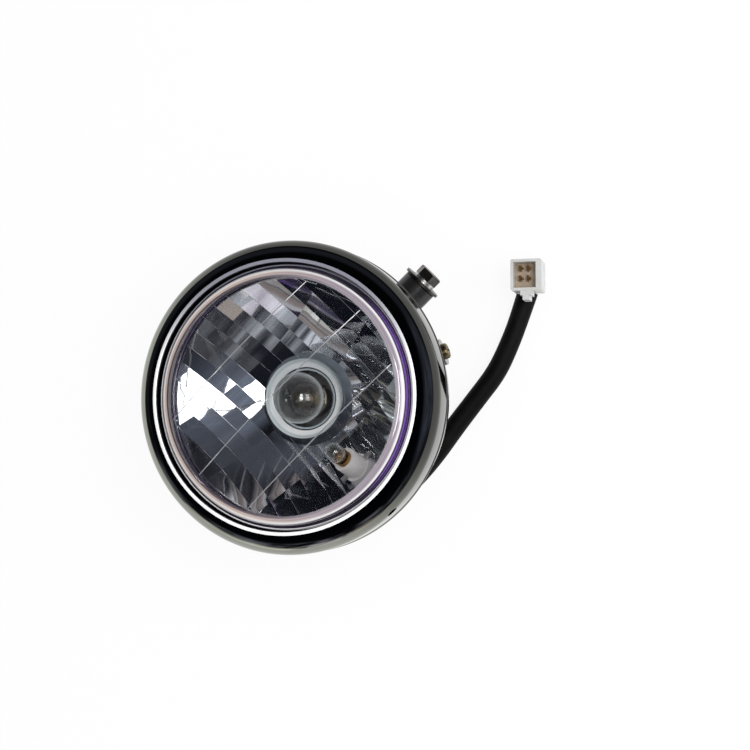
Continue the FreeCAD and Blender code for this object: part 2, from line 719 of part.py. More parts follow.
def make_globe():
    outer, crown, neck = globe_edges(0)
    inner, inner_crown, inner_neck = globe_edges(GLOBE_GLASS)
    edges = outer + [Part.makeLine(neck, inner_neck)] + inner + [Part.makeLine(inner_crown, crown)]
    wire = Part.Wire(Part.__sortEdges__(edges))
    return Part.Face(wire).revolve(ORIGIN, AXIS, TURN)


def make_bulb_cap():
    cap = turned([(0, CAP_END), (CAP_R, CAP_END, CAP_EDGE), (CAP_R, CAP_TOP_Z, CAP_EDGE), (0, CAP_TOP_Z)])
    length = 2 * (CAP_R + CAP_PIN_PROUD)
    pins = rod(V(-length / 2, 0, CAP_END + CAP_PIN_HEIGHT), V(1, 0, 0), CAP_PIN_R, length)
    return cap.fuse(pins).removeSplitter()


def make_filaments():
    pieces = []
    for place, height in zip((-1, 0, 1), SUPPORT_HEIGHTS):
        pieces.append(Part.makeCylinder(SUPPORT_R, height, V(place * SUPPORT_SPREAD, 0, CAP_TOP_Z)))
    tops = [CAP_TOP_Z + height for height in SUPPORT_HEIGHTS]
    upper = rod(V(0, 0, tops[1] - SUPPORT_R), V(1, 0, 0), FILAMENT_R, SUPPORT_SPREAD)
    lower = rod(V(-SUPPORT_SPREAD, 0, tops[0] - FILAMENT_R), V(1, 0, 0), FILAMENT_R, SUPPORT_SPREAD)
    stem = Part.makeCone(GLOBE_NECK_R / 2, SHIELD_R, SUPPORT_HEIGHTS[0] / 2, V(0, 0, CAP_TOP_Z))
    whole = stem
    for piece in pieces + [upper, lower]:
        whole = whole.fuse(piece)
    return whole.removeSplitter()


def make_socket():
    outer = SOCKET_R + SOCKET_WALL
    top = NECK_END + SOCKET_ABOVE
    flange_back = NECK_END - SOCKET_FLANGE_THICK
    back = NECK_END - SOCKET_BELOW
    shell = turned([
        (SOCKET_R, top), (outer, top), (outer, NECK_END), (SOCKET_FLANGE_R, NECK_END),
        (SOCKET_FLANGE_R, flange_back), (outer, flange_back), (outer, back),
        (SOCKET_R - SOCKET_LIP, back), (SOCKET_R - SOCKET_LIP, back + SOCKET_WALL),
        (SOCKET_R, back + SOCKET_WALL),
    ])
    pin_z = CAP_END + CAP_PIN_HEIGHT
    slot = block(-outer - 1, outer + 1, -PIN_SLOT / 2, PIN_SLOT / 2, pin_z, top + 1)
    slot = slot.fuse(rod(V(-outer - 1, 0, pin_z), V(1, 0, 0), PIN_SLOT / 2, 2 * outer + 2))
    return shell.cut(slot)


def make_contact_plate():
    plate = Part.makeCylinder(CAP_R - LOOSE, CONTACT_THICK, V(0, 0, CAP_END - CONTACT_THICK))
    for side in (-1, 1):
        stud = Part.makeCylinder(CONTACT_STUD_R, CONTACT_STUD_R,
                                 V(0, side * CONTACT_STUD_SPREAD, CAP_END - CONTACT_THICK - CONTACT_STUD_R))
        plate = plate.fuse(stud)
    return plate.removeSplitter()


def make_socket_clip():
    """Bent strip that hooks under the socket's flange and over the bead on the reflector's neck."""
    half = SOCKET_CLIP_WIDTH / 2
    flange_back = NECK_END - SOCKET_FLANGE_THICK
    bead_top = NECK_END + NECK_BEAD_DROP + NECK_BEAD
    outer = SOCKET_FLANGE_R + SOCKET_CLIP_SHEET
    strip = block(SOCKET_FLANGE_R, outer, -half, half, flange_back - SOCKET_CLIP_SHEET, bead_top + SOCKET_CLIP_SHEET)
    under = block(outer - SOCKET_CLIP_GRIP, outer, -half, half, flange_back - SOCKET_CLIP_SHEET, flange_back)
    over = block(outer - SOCKET_CLIP_GRIP, outer, -half, half, bead_top, bead_top + SOCKET_CLIP_SHEET)
    over = over.cut(Part.makeCylinder(NECK_R + SLIP, REACH, V(0, 0, bead_top - 1)))
    strip = strip.cut(Part.makeCylinder(SOCKET_FLANGE_R, REACH, V(0, 0, flange_back)))
    return strip.fuse(under).fuse(over).removeSplitter()


def make_boot():
    clip_r = math.hypot(SOCKET_FLANGE_R + SOCKET_CLIP_SHEET, SOCKET_CLIP_WIDTH / 2)
    inner = clip_r + BOOT_ROOM
    lip_back = NECK_END + NECK_BEAD_DROP + NECK_BEAD + SOCKET_CLIP_SHEET + BOOT_ROOM
    back = lip_back - BOOT_DEPTH
    outer = inner + BOOT_WALL
    end = back - BOOT_TAPER
    return turned([
        (NECK_R, lip_back), (NECK_R, lip_back + BOOT_LIP), (outer, lip_back + BOOT_LIP, BOOT_WALL),
        (outer, back), (BOOT_END_R, end, BOOT_WALL), (BOOT_END_R, end - BOOT_TAPER),
        (BOOT_HOLE_R, end - BOOT_TAPER), (BOOT_HOLE_R, end + BOOT_WALL), (inner, back + BOOT_WALL),
        (inner, lip_back),
    ])


# Pilot lamp, drawn along Z and then placed

def make_pilot_holder():
    return pilot_place(turned([
        (0, -BOSS_DEPTH - HOLDER_FLANGE_THICK - HOLDER_TAIL),
        (HOLDER_NOSE_R, -BOSS_DEPTH - HOLDER_FLANGE_THICK - HOLDER_TAIL),
        (HOLDER_NOSE_R, -BOSS_DEPTH - HOLDER_FLANGE_THICK),
        (HOLDER_FLANGE_R, -BOSS_DEPTH - HOLDER_FLANGE_THICK),
        (HOLDER_FLANGE_R, -BOSS_DEPTH),
        (HOLDER_R, -BOSS_DEPTH),
        (HOLDER_R, HOLDER_SHOULDER),
        (HOLDER_NOSE_R, HOLDER_SHOULDER),
        (HOLDER_NOSE_R, HOLDER_NOSE),
        (PILOT_CAP_R + SLIP, HOLDER_NOSE),
        (PILOT_CAP_R + SLIP, HOLDER_NOSE + PILOT_CAP_PROUD - PILOT_CAP_LENGTH),
        (0, HOLDER_NOSE + PILOT_CAP_PROUD - PILOT_CAP_LENGTH),
    ]))


def make_pilot_cap():
    top = HOLDER_NOSE + PILOT_CAP_PROUD
    return pilot_place(Part.makeCylinder(PILOT_CAP_R, PILOT_CAP_LENGTH, V(0, 0, top - PILOT_CAP_LENGTH)))


def make_pilot_glass():
    start = HOLDER_NOSE + PILOT_CAP_PROUD
    end = start + PILOT_GLASS_LENGTH
    inner = PILOT_GLASS_R - PILOT_GLASS
    waist = PILOT_CAP_R - PILOT_GLASS
    return pilot_place(turned([
        (waist, start), (PILOT_GLASS_R, start + PILOT_GLASS_R / 2, PILOT_GLASS_R / 2),
        (PILOT_GLASS_R, end, PILOT_GLASS_ROUND), (0, end), (0, end - PILOT_GLASS),
        (inner, end - PILOT_GLASS, PILOT_GLASS_ROUND - PILOT_GLASS),
        (inner, start + PILOT_GLASS_R / 2, PILOT_GLASS_R / 2), (waist - PILOT_GLASS, start),
    ]))


def make_pilot_tabs():
    half = TAB_WIDTH / 2
    far = HOLDER_NOSE_R + TAB_REACH
    foot = block(HOLDER_NOSE_R - 1, far, -half, half, HOLDER_SHOULDER, HOLDER_SHOULDER + TAB_SHEET)
    foot = foot.cut(Part.makeCylinder(HOLDER_NOSE_R, REACH))
    leg = block(far - TAB_SHEET, far, -half, half, HOLDER_SHOULDER - TAB_DROP, HOLDER_SHOULDER)
    tab = foot.fuse(leg).removeSplitter()
    return Part.makeCompound([pilot_place(tab), pilot_place(around(tab, TURN / 2))])


# Harness, gland and plug

def make_gland():
    line = gland_line()
    inner_end = gland_exit() - line * GLAND_INSIDE
    length = (ROUTE[0] - inner_end).Length
    body = rod(inner_end, line, GLAND_R, length)
    skirt = rod(inner_end, line, GLAND_SKIRT_R, length)
    band = bucket_form(GLAND_SKIRT, BUCKET_MOUTH_Z).cut(bucket_form(0, BUCKET_MOUTH_Z))
    return body.fuse(skirt.common(band)).removeSplitter()


def make_sleeve():
    return pipe(ROUTE, bend_radii(ROUTE), SLEEVE_R)


def print_sleeve(sleeve):
    radii = bend_radii(ROUTE)
    length = Part.Wire(rounded_path(ROUTE, radii)).Length
    share = sleeve.Volume / (math.pi * SLEEVE_R ** 2 * length)
    print("sleeve bends", [round(radius, 1) for radius in radii[1:-1]])
    print("sleeve length", round(length, 1), "volume share", round(share, 5))


def make_plug_wires():
    """Four wires from the sleeve's end, each turned up into the plug's back."""
    along = (ROUTE[-1] - ROUTE[-2]).normalize()
    across = AXIS.cross(along)
    wires = []
    for side in (-1, 1):
        for level in (-1, 1):
            start = ROUTE[-1] + across * (side * WIRE_SPREAD) + AXIS * (level * WIRE_SPREAD)
            bend = plug_back() - start.z - WIRE_LEAD
            corner = start + along * (WIRE_LEAD + bend)
            end = corner + AXIS * (bend + WIRE_LEAD)
            wires.append(pipe([start, corner, end], [0, bend, 0], WIRE_R))
    return Part.makeCompound(wires)


def loom_start(side):
    """First two points of a loom: on the gland's inner face, and straight on from it."""
    line = gland_line()
    sideways = line.cross(AXIS).normalize()
    start = gland_exit() - line * GLAND_INSIDE + sideways * (side * LOOM_SPREAD)
    return [start, start - line * LOOM_LEAD]


def make_bulb_loom():
    end = CAP_END - CONTACT_THICK - CONTACT_STUD_R
    route = loom_start(1) + BULB_LOOM_WAY + [V(0, 0, end)]
    return pipe(route, bend_radii(route), BULB_LOOM_R)


def make_pilot_loom():
    tail = pilot_place(Part.Vertex(0, 0, -BOSS_DEPTH - HOLDER_FLANGE_THICK - HOLDER_TAIL)).Point
    route = loom_start(-1) + PILOT_LOOM_WAY + [tail - PILOT_AIM * LOOM_LEAD, tail]
    return pipe(route, bend_radii(route), PILOT_LOOM_R)


def rounded_box(width, breadth, height, corner):
    box = block(-width / 2, width / 2, -breadth / 2, breadth / 2, 0, height)
    uprights = [edge for edge in box.Edges if abs(edge.tangentAt(edge.FirstParameter).z) > 0.9]
    return box.makeFillet(corner, uprights)


def make_plug_housing():
    box = rounded_box(PLUG_WIDTH, PLUG_BREADTH, PLUG_HEIGHT, PLUG_CORNER)
    floor = PLUG_HEIGHT - SOCKET_DEPTH
    cavity = block(-PLUG_WIDTH / 2 + PLUG_WALL, PLUG_WIDTH / 2 - PLUG_KEY_WALL,
                   -PLUG_BREADTH / 2 + PLUG_WALL, PLUG_BREADTH / 2 - PLUG_WALL, floor, PLUG_HEIGHT + 1)
    front = -PLUG_BREADTH / 2
    base = PLUG_HEIGHT - LATCH_HEIGHT
    latch = block(-LATCH_WIDTH / 2, LATCH_WIDTH / 2, front - LATCH_STEP, front + PLUG_WALL, base, PLUG_HEIGHT)
    nose = block(-LATCH_NOSE / 2, LATCH_NOSE / 2, front - LATCH_REACH, front, base, PLUG_HEIGHT)
    for blade in terminal_blades(SLIP):
        box = box.cut(blade)
    whole = box.fuse(latch).fuse(nose).cut(cavity)
    return plug_place(whole.removeSplitter())


def terminal_blades(room):
    """Blades of the four terminals on the plug's own axes, grown by some room."""
    floor = PLUG_HEIGHT - SOCKET_DEPTH
    blades = []
    for column in (-1, 1):
        for row in (-1, 1):
            u = TERMINAL_SHIFT_U + column * TERMINAL_PITCH_U / 2
            v = TERMINAL_SHIFT_V + row * TERMINAL_PITCH_V / 2
            half_sheet = TERMINAL_SHEET / 2 + room
            half_blade = TERMINAL_BLADE / 2 + room
            low = floor - TERMINAL_ROOT - room
            high = floor + TERMINAL_HEIGHT
            blade = block(u - half_sheet, u + half_sheet, v - half_blade, v + half_blade, low, high)
            wing = block(u, u + half_blade, v - half_sheet, v + half_sheet, low, high)
            blades.append(blade.fuse(wing).removeSplitter())
    return blades


def make_plug_terminals():
    return Part.makeCompound([plug_place(blade) for blade in terminal_blades(0)])


def side_stack():
    return {
        "side_collars": both_sides(make_collar()),
        "side_weld_nuts": both_sides(make_weld_nut()),
        "flat_washers": washer(COLLAR_FACE, FLAT_WASHER_THICK, FLAT_WASHER_R),
        "split_washers": make_split_washer(),
        "side_bolts": make_bolt(),
    }


def at_azimuths(shape, azimuths):
    return Part.makeCompound([around(shape, azimuth) for azimuth in azimuths])


def all_parts():
    parts = {
        "bucket": make_bucket(),
        "chrome_rim": make_rim(),
        "rim_lugs": at_azimuths(make_lug(), SCREW_AZIMUTHS),
        "lug_nuts": at_azimuths(make_lug_nut(), SCREW_AZIMUTHS),
        "rim_screws": at_azimuths(make_rim_screw(), SCREW_AZIMUTHS),
        "retaining_clips": at_azimuths(make_clip(), CLIP_AZIMUTHS),
        "lens": make_lens(),
        "lens_seal": make_seal(),
        "reflector": make_reflector(),
        "bulb_seat_ring": make_seat_ring(),
        "bulb_globe": make_globe(),
        "bulb_cap": make_bulb_cap(),
        "bulb_filaments": make_filaments(),
        "bulb_socket": make_socket(),
        "contact_plate": make_contact_plate(),
        "socket_clips": at_azimuths(make_socket_clip(), (90.0, 270.0)),
        "dust_boot": make_boot(),
        "pilot_holder": make_pilot_holder(),
        "pilot_cap": make_pilot_cap(),
        "pilot_glass": make_pilot_glass(),
        "pilot_tabs": make_pilot_tabs(),
        "wire_gland": make_gland(),
        "bulb_loom": make_bulb_loom(),
        "pilot_loom": make_pilot_loom(),
        "harness_sleeve": make_sleeve(),
        "plug_wires": make_plug_wires(),
        "plug_housing": make_plug_housing(),
        "plug_terminals": make_plug_terminals(),
    }
    parts.update(side_stack())
    return parts


os.makedirs("parts", exist_ok=True)
parts = all_parts()
print_sleeve(parts["harness_sleeve"])
for name, shape in parts.items():
    shape.exportStep("parts/" + name + ".step")
    valid = all(solid.isValid() for solid in shape.Solids)
    print(name, len(shape.Solids), "solids", round(shape.Volume / 1000, 2), "cm3", "valid" if valid else "BAD")
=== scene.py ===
"""Round motorcycle headlight lying on its back: finishes, fine glass detail, harness and photo stage."""

import json
import math

import bpy
from mathutils import Matrix, Vector


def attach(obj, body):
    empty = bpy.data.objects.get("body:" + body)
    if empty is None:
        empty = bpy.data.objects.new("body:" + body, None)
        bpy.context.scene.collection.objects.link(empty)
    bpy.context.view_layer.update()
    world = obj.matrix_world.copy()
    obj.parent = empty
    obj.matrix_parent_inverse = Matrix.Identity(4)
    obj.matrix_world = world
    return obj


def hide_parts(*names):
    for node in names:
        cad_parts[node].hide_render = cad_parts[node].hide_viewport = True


bl_info = {
    "name": "Motorcycle headlight",
    "version": (1, 0, 0),
    "blender": (4, 5, 0),
    "location": "View3D > Sidebar > Headlight",
    "description": "Dresses the headlight's solids and sets the photo stage",
    "category": "Object",
}

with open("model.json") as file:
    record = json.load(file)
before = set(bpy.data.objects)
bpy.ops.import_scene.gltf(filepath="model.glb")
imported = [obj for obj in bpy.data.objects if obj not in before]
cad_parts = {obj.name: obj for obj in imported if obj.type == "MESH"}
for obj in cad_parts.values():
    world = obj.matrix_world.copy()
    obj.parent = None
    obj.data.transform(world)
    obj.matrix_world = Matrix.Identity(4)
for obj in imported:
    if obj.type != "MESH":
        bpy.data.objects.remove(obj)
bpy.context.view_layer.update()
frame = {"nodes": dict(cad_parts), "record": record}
NODES = frame["nodes"]
BODY = "root"
MM = 0.001
WHITE = (1.0, 1.0, 1.0)
SMOOTH_UNDER = math.radians(32)  # edges flatter than this are shaded smooth

# Harness centre line from the gland to the plug, in metres
ROUTE = [
    (-0.06675, -0.0270, 0.01936),
    (-0.0705, -0.0385, 0.0123),
    (-0.0660, -0.0507, 0.0080),
    (-0.0550, -0.0590, 0.0073),
    (-0.0400, -0.0655, 0.0072),
    (-0.0210, -0.0703, 0.0072),
    (0.0000, -0.0715, 0.0072),
    (0.0220, -0.0703, 0.0072),
    (0.0455, -0.0665, 0.0072),
    (0.0693, -0.0632, 0.0072),
    (0.0880, -0.0606, 0.0072),
    (0.1056, -0.0539, 0.0072),
    (0.1210, -0.0468, 0.0072),
    (0.1365, -0.0386, 0.0072),
]
# Share of the sleeve's diameter at each of those points
SLEEVE_TAPER = (1, 1, 1, 1, 1, 1, 1, 0.97, 0.92, 0.90, 0.91, 0.88, 0.86, 0.92)
SLEEVE_FINENESS = 12  # along each stretch of the sleeve, and round it

# Plug in metres: its middle, its directions across and along, its socket's middle and half sizes
PLUG_MIDDLE = Vector((0.1433, -0.0350, 0.0))
PLUG_ACROSS = Vector((0.7193, -0.6947, 0.0))
PLUG_ALONG = Vector((0.6947, 0.7193, 0.0))
SOCKET_SHIFT = -0.00085
SOCKET_HALF = (0.0070, 0.0080)
SOCKET_DEPTHS = (0.0215, 0.0315)  # heights of the socket's floor and mouth

# Camera: where it stands, and its right, up and backward directions
CAMERA_PLACE = Vector((0.15004, -0.17725, 0.77459))
CAMERA_RIGHT = Vector((0.69519, -0.67131, -0.25700))
CAMERA_UP = Vector((0.70306, 0.70947, 0.04857))
CAMERA_BACK = Vector((0.14973, -0.21445, 0.96519))
NEAREST_SEEN = 0.01
FOCAL_PIXELS = 1247.25
PHOTO_PIXELS = 750
SENSOR = 36.0

# Rim's half section in millimetres; a roll or bead has its centre's radius and height, and its own radius
RETURN_EDGE = (74.6, 106.6)
RETURN_INSIDE = ((76.3, 110.0), (75.5, 106.3))
# bead on the return, given the lip's painted highlight
RETURN_BEAD = (74.75, 106.9, 0.5)
LIP_ROLL = (77.0, 110.5, 1.35)
LIP_TOP = 1.5  # radius of the satin top on the rolled lip, white as a painted highlight
LIP_SUNK = 0.2  # how far that top goes into the roll
LIP_SPAN = (128.0, 48.0)  # degrees of the roll that it covers, from inside to outside
CROWN = (78.6, 100.6, 11.05, 10.7)  # centre radius, centre height, half width and half height
FLANK_FOOT = (0.95, 2.4)  # from the hem bead's centre to the foot of the flank
HEM_BEAD = (88.7, 83.7, 1.3)
HEM_INSIDE = 2.2  # from the hem bead's centre up to its inner end
RIM_SHEET = 0.9
# Arcs of that section: from and to in degrees, and the number of steps
LIP_ARC = (180, 40, 12)
CROWN_ARC = (84, 0, 18)
HEM_ARC = (50, -180, 12)
INSIDE_ARC = (0, 96, 10)
BEAD_ARC = (0, 330, 11)
TOP_STEPS = 14
RIM_STEPS = 256
BEAD_STEPS = 192

# Drain slot through the rim in millimetres
DRAIN_PLACE = Vector((0, -88, 102))
DRAIN_R = 2.2
DRAIN_DEPTH = 20
DRAIN_STRETCH = 1.5

# Rim's plate in metres, with its painted reflection and shade
CROWN_REFLECTION_RADII = (0.0840, 0.0850)  # radii where the painted dark reflection on the crown clears
CROWN_FOOT = (0.0995, 0.1005)  # heights between which it starts
CROWN_LEAN = 0.022  # how far that border leans across the lamp
FLANK_PAINTED_SHADE_SPAN = (-0.05, 0.05)  # where the painted shade darkens the flank, toward +X: up and right in the picture
LIP_SHADE = (0.010, 0.065)  # where the lip turns to painted shade, up the picture

# Lens in millimetres
DOME_CENTRE = -178.0
DOME_R = 300.0
DOME_REACH = 67.0  # radius where the dome ends outside
DOME_REACH_INSIDE = 66.4
DOME_STEPS = 40
EDGE_STEP = ((67.25, 0.35), (67.9, 0.38))  # radius, and drop below the dome's edge
SHOULDER = (66.8, 108.3, 6.0)  # centre radius, centre height and radius
SHOULDER_ARC = (70.798265, 0, 10)  # from and to in degrees, and the number of steps
SHOULDER_ARC_INSIDE = (0, 70, 6)
GLASS = 3.0
FLANGE = (78.0, 105.3, 102.1)  # radius, top and underside
LENS_STEPS = 192
RIB_LINES = (36.0, 2.0, -32.0)  # heights of the long moulded lines across the lens
RIB_R = 0.32
RIB_REACH = 66.0
RIB_STEPS = 24

# Lens's edge in metres, with its painted highlights and reflections
EDGE_STARTS = (0.0668, 0.0678)  # radii where the clear dome turns milky
EDGE_ENDS = (0.0728, 0.0734)  # radii where that ends on the flange
EDGE_DEPTH = 0.009  # length of the way over the shoulder and down the wall
EDGE_TURN = (-0.035, 0.05)  # where the left side's painted colours give way to the right's, across the picture
PAINTED_VIOLET_SIDE = (0.044, 0.066)  # where the painted violet reflection starts, across the picture
VIOLET_FOOT = (0.585, 0.62)  # and its share of the way down
RING_PITCH = 0.00135  # fine rings moulded in the shoulder

# Bulb's dish: half section in millimetres, then its inner and outer edge in metres
DISH_CURVE = (14.6, 75.4, 9.9)
DISH_ARC = (-76, -24, 14)  # from and to in degrees, and the number of steps
DISH_BACK = ((24.0, 71.1), (24.3, 70.5), (24.2, 66.0), (17.1, 65.3))
DISH_STEPS = 128
DISH_RADII = (0.0169, 0.0243)
DISH_SHADE = (-0.010, 0.020)  # where the painted shade on the dish comes in, up the picture

# Reflector's strips in metres
STRIPS_FROM = 0.0694
STRIP_WIDTH = 0.009253

# Directions on the floor that run right and up in the picture
ACROSS = (0.719, -0.695, 0.0)
ALONG = (0.704, 0.710, 0.0)

# Soft light panels: name, place, size across and along the picture, brightness and tint
PANELS = (
    ("near_panel", (0.36, -0.32, 0.93), (0.22, 0.50), 11.0, (1.0, 0.99, 0.98)),
    ("right_panel", (0.66, -0.60, 0.56), (0.46, 0.48), 4.2, (0.96, 0.98, 1.0)),
    ("cream_panel", (-0.97, -0.20, 0.33), (0.26, 0.85), 0.56, (1.0, 0.97, 0.88)),
    ("mauve_panel", (-0.68, -0.72, 0.31), (0.27, 0.24), 0.55, (0.96, 0.84, 0.94)),
    ("beige_panel", (-0.42, -0.90, 0.31), (0.22, 0.24), 0.48, (1.0, 0.84, 0.72)),
)
PANELS_AIM = Vector((0, 0, 0.09))
HIDDEN_FROM_RIM = ("near_panel", "right_panel")

# Floor and room; heights in the room run from 0 at the horizon to 1 overhead
FLOOR_GREY = (0.86, 0.86, 0.86)
FLOOR_GLOW = 0.9  # share of plain white in the floor; the rest takes the shadow
ROOM_WALL = (0.10, 0.16)  # heights between which the white wall ends
ROOM_TONES = ((0.0, (0.20, 0.20, 0.19)), (0.12, (0.09, 0.09, 0.095)), (0.35, (0.020, 0.021, 0.028)),
              (1.0, (0.005, 0.006, 0.010)))
ROOM_GREY = (0.80, 0.80, 0.81)  # what scattered light meets
FAR_SIDE = (0.008, 0.008, 0.010)
FAR_HAZE = (0.080, 0.085, 0.105)
PATCH_WHITE = (0.95, 0.98, 1.05)
FRINGE_BLUE = (0.34, 0.38, 0.48)
FRINGE_FROM = (0.62, -0.50, 0.60)  # middle of the pale fringe round the near light
GLOW_FROM = (-0.71, -0.39, 0.58)  # where the soft silver in the right half of the reflector comes from
LEFT_STRIP = 0.08  # middle height of the white strip low at the left

# Finishes: small plated hardware and plain mouldings, each with its colour, stain and roughness
FINISH_PREFIX = "lamp_"  # keeps these finishes apart from the solids' own plain ones
PLATED = {
    "plug_copper": ((0.42, 0.23, 0.07), (0.20, 0.10, 0.03), 0.3),
    "bulb_base": ((0.46, 0.38, 0.28), (0.24, 0.18, 0.12), 0.22),
    "zinc_steel": ((0.66, 0.66, 0.67), (0.52, 0.51, 0.50), 0.24),
    "dark_nickel": ((0.10, 0.092, 0.084), (0.055, 0.05, 0.046), 0.26),
    "yellow_zinc": ((0.22, 0.17, 0.085), (0.08, 0.065, 0.045), 0.26),
    "pilot_brass": ((0.42, 0.25, 0.085), (0.16, 0.085, 0.03), 0.16),
    "brass": ((0.72, 0.55, 0.27), (0.58, 0.42, 0.20), 0.26),
    "tungsten": ((0.62, 0.56, 0.44), (0.45, 0.40, 0.32), 0.3),
}
MOULDED = {
    "brown_board": ((0.18, 0.10, 0.05), (0.12, 0.07, 0.04), 0.5),
    "black_rubber": ((0.022, 0.022, 0.022), (0.04, 0.039, 0.037), 0.55),
    "white_nylon": ((0.60, 0.57, 0.565), (0.53, 0.50, 0.49), 0.38),
    "wire_cover": ((0.03, 0.03, 0.032), (0.06, 0.058, 0.055), 0.4),
}
# Nodes whose look differs from their slot's common one
OWN_FINISH = {
    "bulb_seat_ring": "dark_nickel",
    "bulb_cap": "bulb_base",
    "pilot_cap": "pilot_brass",
    "plug_terminals": "plug_copper",
}

# Colours inside the finishes
PLATE_SMUDGE = (0.22, 0.22, 0.20)
# painted shade on the rim's flank, toward +X
PLATE_PAINTED_SHADE = (0.07, 0.07, 0.065)
# painted dark reflection on the rim's crown
PLATE_CROWN_REFLECTION = (0.11, 0.112, 0.12)
# painted highlight on the rim's lip
LIP_PAINTED_HIGHLIGHT = (0.98, 0.98, 0.98)
LIP_WORN = (0.92, 0.92, 0.93)
# painted shade on the lip, up the picture
LIP_PAINTED_SHADE = (0.26, 0.26, 0.31)
ENAMEL_DUST = (0.06, 0.058, 0.055)
COLLAR_WEAR = (0.05, 0.048, 0.046)
MIRROR_HAZE = (0.74, 0.75, 0.80)
SEAL_STAIN = (0.07, 0.055, 0.10)
VINYL_STAIN = (0.005, 0.005, 0.005)
NYLON_CLOUD = (0.49, 0.485, 0.46)
# painted shade down in the plug's socket
NYLON_SOCKET_PAINTED_SHADE = (0.48, 0.38, 0.27)
LINE_GREY = (0.33, 0.33, 0.345)
BULB_GREY = (0.92, 0.95, 0.96)
GLASS_TINT = (0.97, 0.975, 0.975)
# painted violet reflection on the lens's edge, at the picture's right
EDGE_PAINTED_VIOLET = (0.34, 0.17, 0.68)
# painted shade on the bulb's dish, up the picture
DISH_PAINTED_SHADE = (0.42, 0.47, 0.50)
# Painted reflection rings of the bulb's dish, ending in a dark outline, from its inner to its outer edge
DISH_PAINTED_REFLECTION_RINGS = (
    (0.00, (0.30, 0.35, 0.38)), (0.20, (0.62, 0.68, 0.71)), (0.34, WHITE), (0.62, WHITE),
    (0.74, (0.60, 0.67, 0.70)), (0.88, (0.82, 0.87, 0.89)), (0.93, (0.05, 0.055, 0.065)),
)
# Lens's edge from the dome down to the flange, at the picture's right and left: painted highlights,
# reflections and dark lines
EDGE_RIGHT_PAINTED_LIGHT = (
    (0.00, (0.62, 0.60, 0.62)), (0.10, (0.36, 0.32, 0.37)), (0.40, (0.33, 0.28, 0.32)),
    (0.46, (0.95, 0.94, 0.95)), (0.52, (0.90, 0.88, 0.90)), (0.57, (0.03, 0.02, 0.04)),
    (1.00, (0.05, 0.04, 0.07)),
)
EDGE_LEFT_PAINTED_LIGHT = (
    (0.00, (0.055, 0.05, 0.065)), (0.14, (0.10, 0.085, 0.10)), (0.20, (0.50, 0.40, 0.37)),
    (0.38, (0.78, 0.64, 0.57)), (0.44, (0.96, 0.95, 0.95)), (0.63, (0.96, 0.95, 0.95)),
    (0.67, (0.05, 0.035, 0.085)), (1.00, (0.04, 0.03, 0.07)),
)


# Shader maths

class Socket:
    """A shader value whose arithmetic adds Math nodes to its material."""

    def __init__(self, paint, link):
        self.paint = paint
        self.link = link

    def _math(self, operation, *values):
        return self.paint.node("ShaderNodeMath", {"operation": operation}, dict(enumerate(values)))

    def __add__(self, other):
        return self._math("ADD", self, other)

    __radd__ = __add__

    def __sub__(self, other):
        return self._math("SUBTRACT", self, other)

    def __rsub__(self, other):
        return self._math("SUBTRACT", other, self)

    def __mul__(self, other):
        return self._math("MULTIPLY", self, other)

    __rmul__ = __mul__

    def __truediv__(self, other):
        return self._math("DIVIDE", self, other)

    def __pow__(self, other):
        return self._math("POWER", self, other)

    def __abs__(self):
        return self._math("ABSOLUTE", self)

    def __gt__(self, other):
        return self._math("GREATER_THAN", self, other)

    def __lt__(self, other):
        return self._math("LESS_THAN", self, other)

    def fraction(self):
        return self._math("FRACT", self)

    def above_zero(self):
        return self._math("MAXIMUM", self, 0.0)

    def root(self):
        return self._math("SQRT", self)

    def ramp(self, low, high, to_low=0.0, to_high=1.0):
        """This value stretched from low..high to to_low..to_high, smoothed and kept within them."""
        settings = {"interpolation_type": "SMOOTHSTEP"}
        values = {"Value": self, "From Min": low, "From Max": high, "To Min": to_low, "To Max": to_high}
        return self.paint.node("ShaderNodeMapRange", settings, values)

    def falling(self, low, high):
        """1 below low, 0 above high."""
        return self.ramp(low, high, 1.0, 0.0)


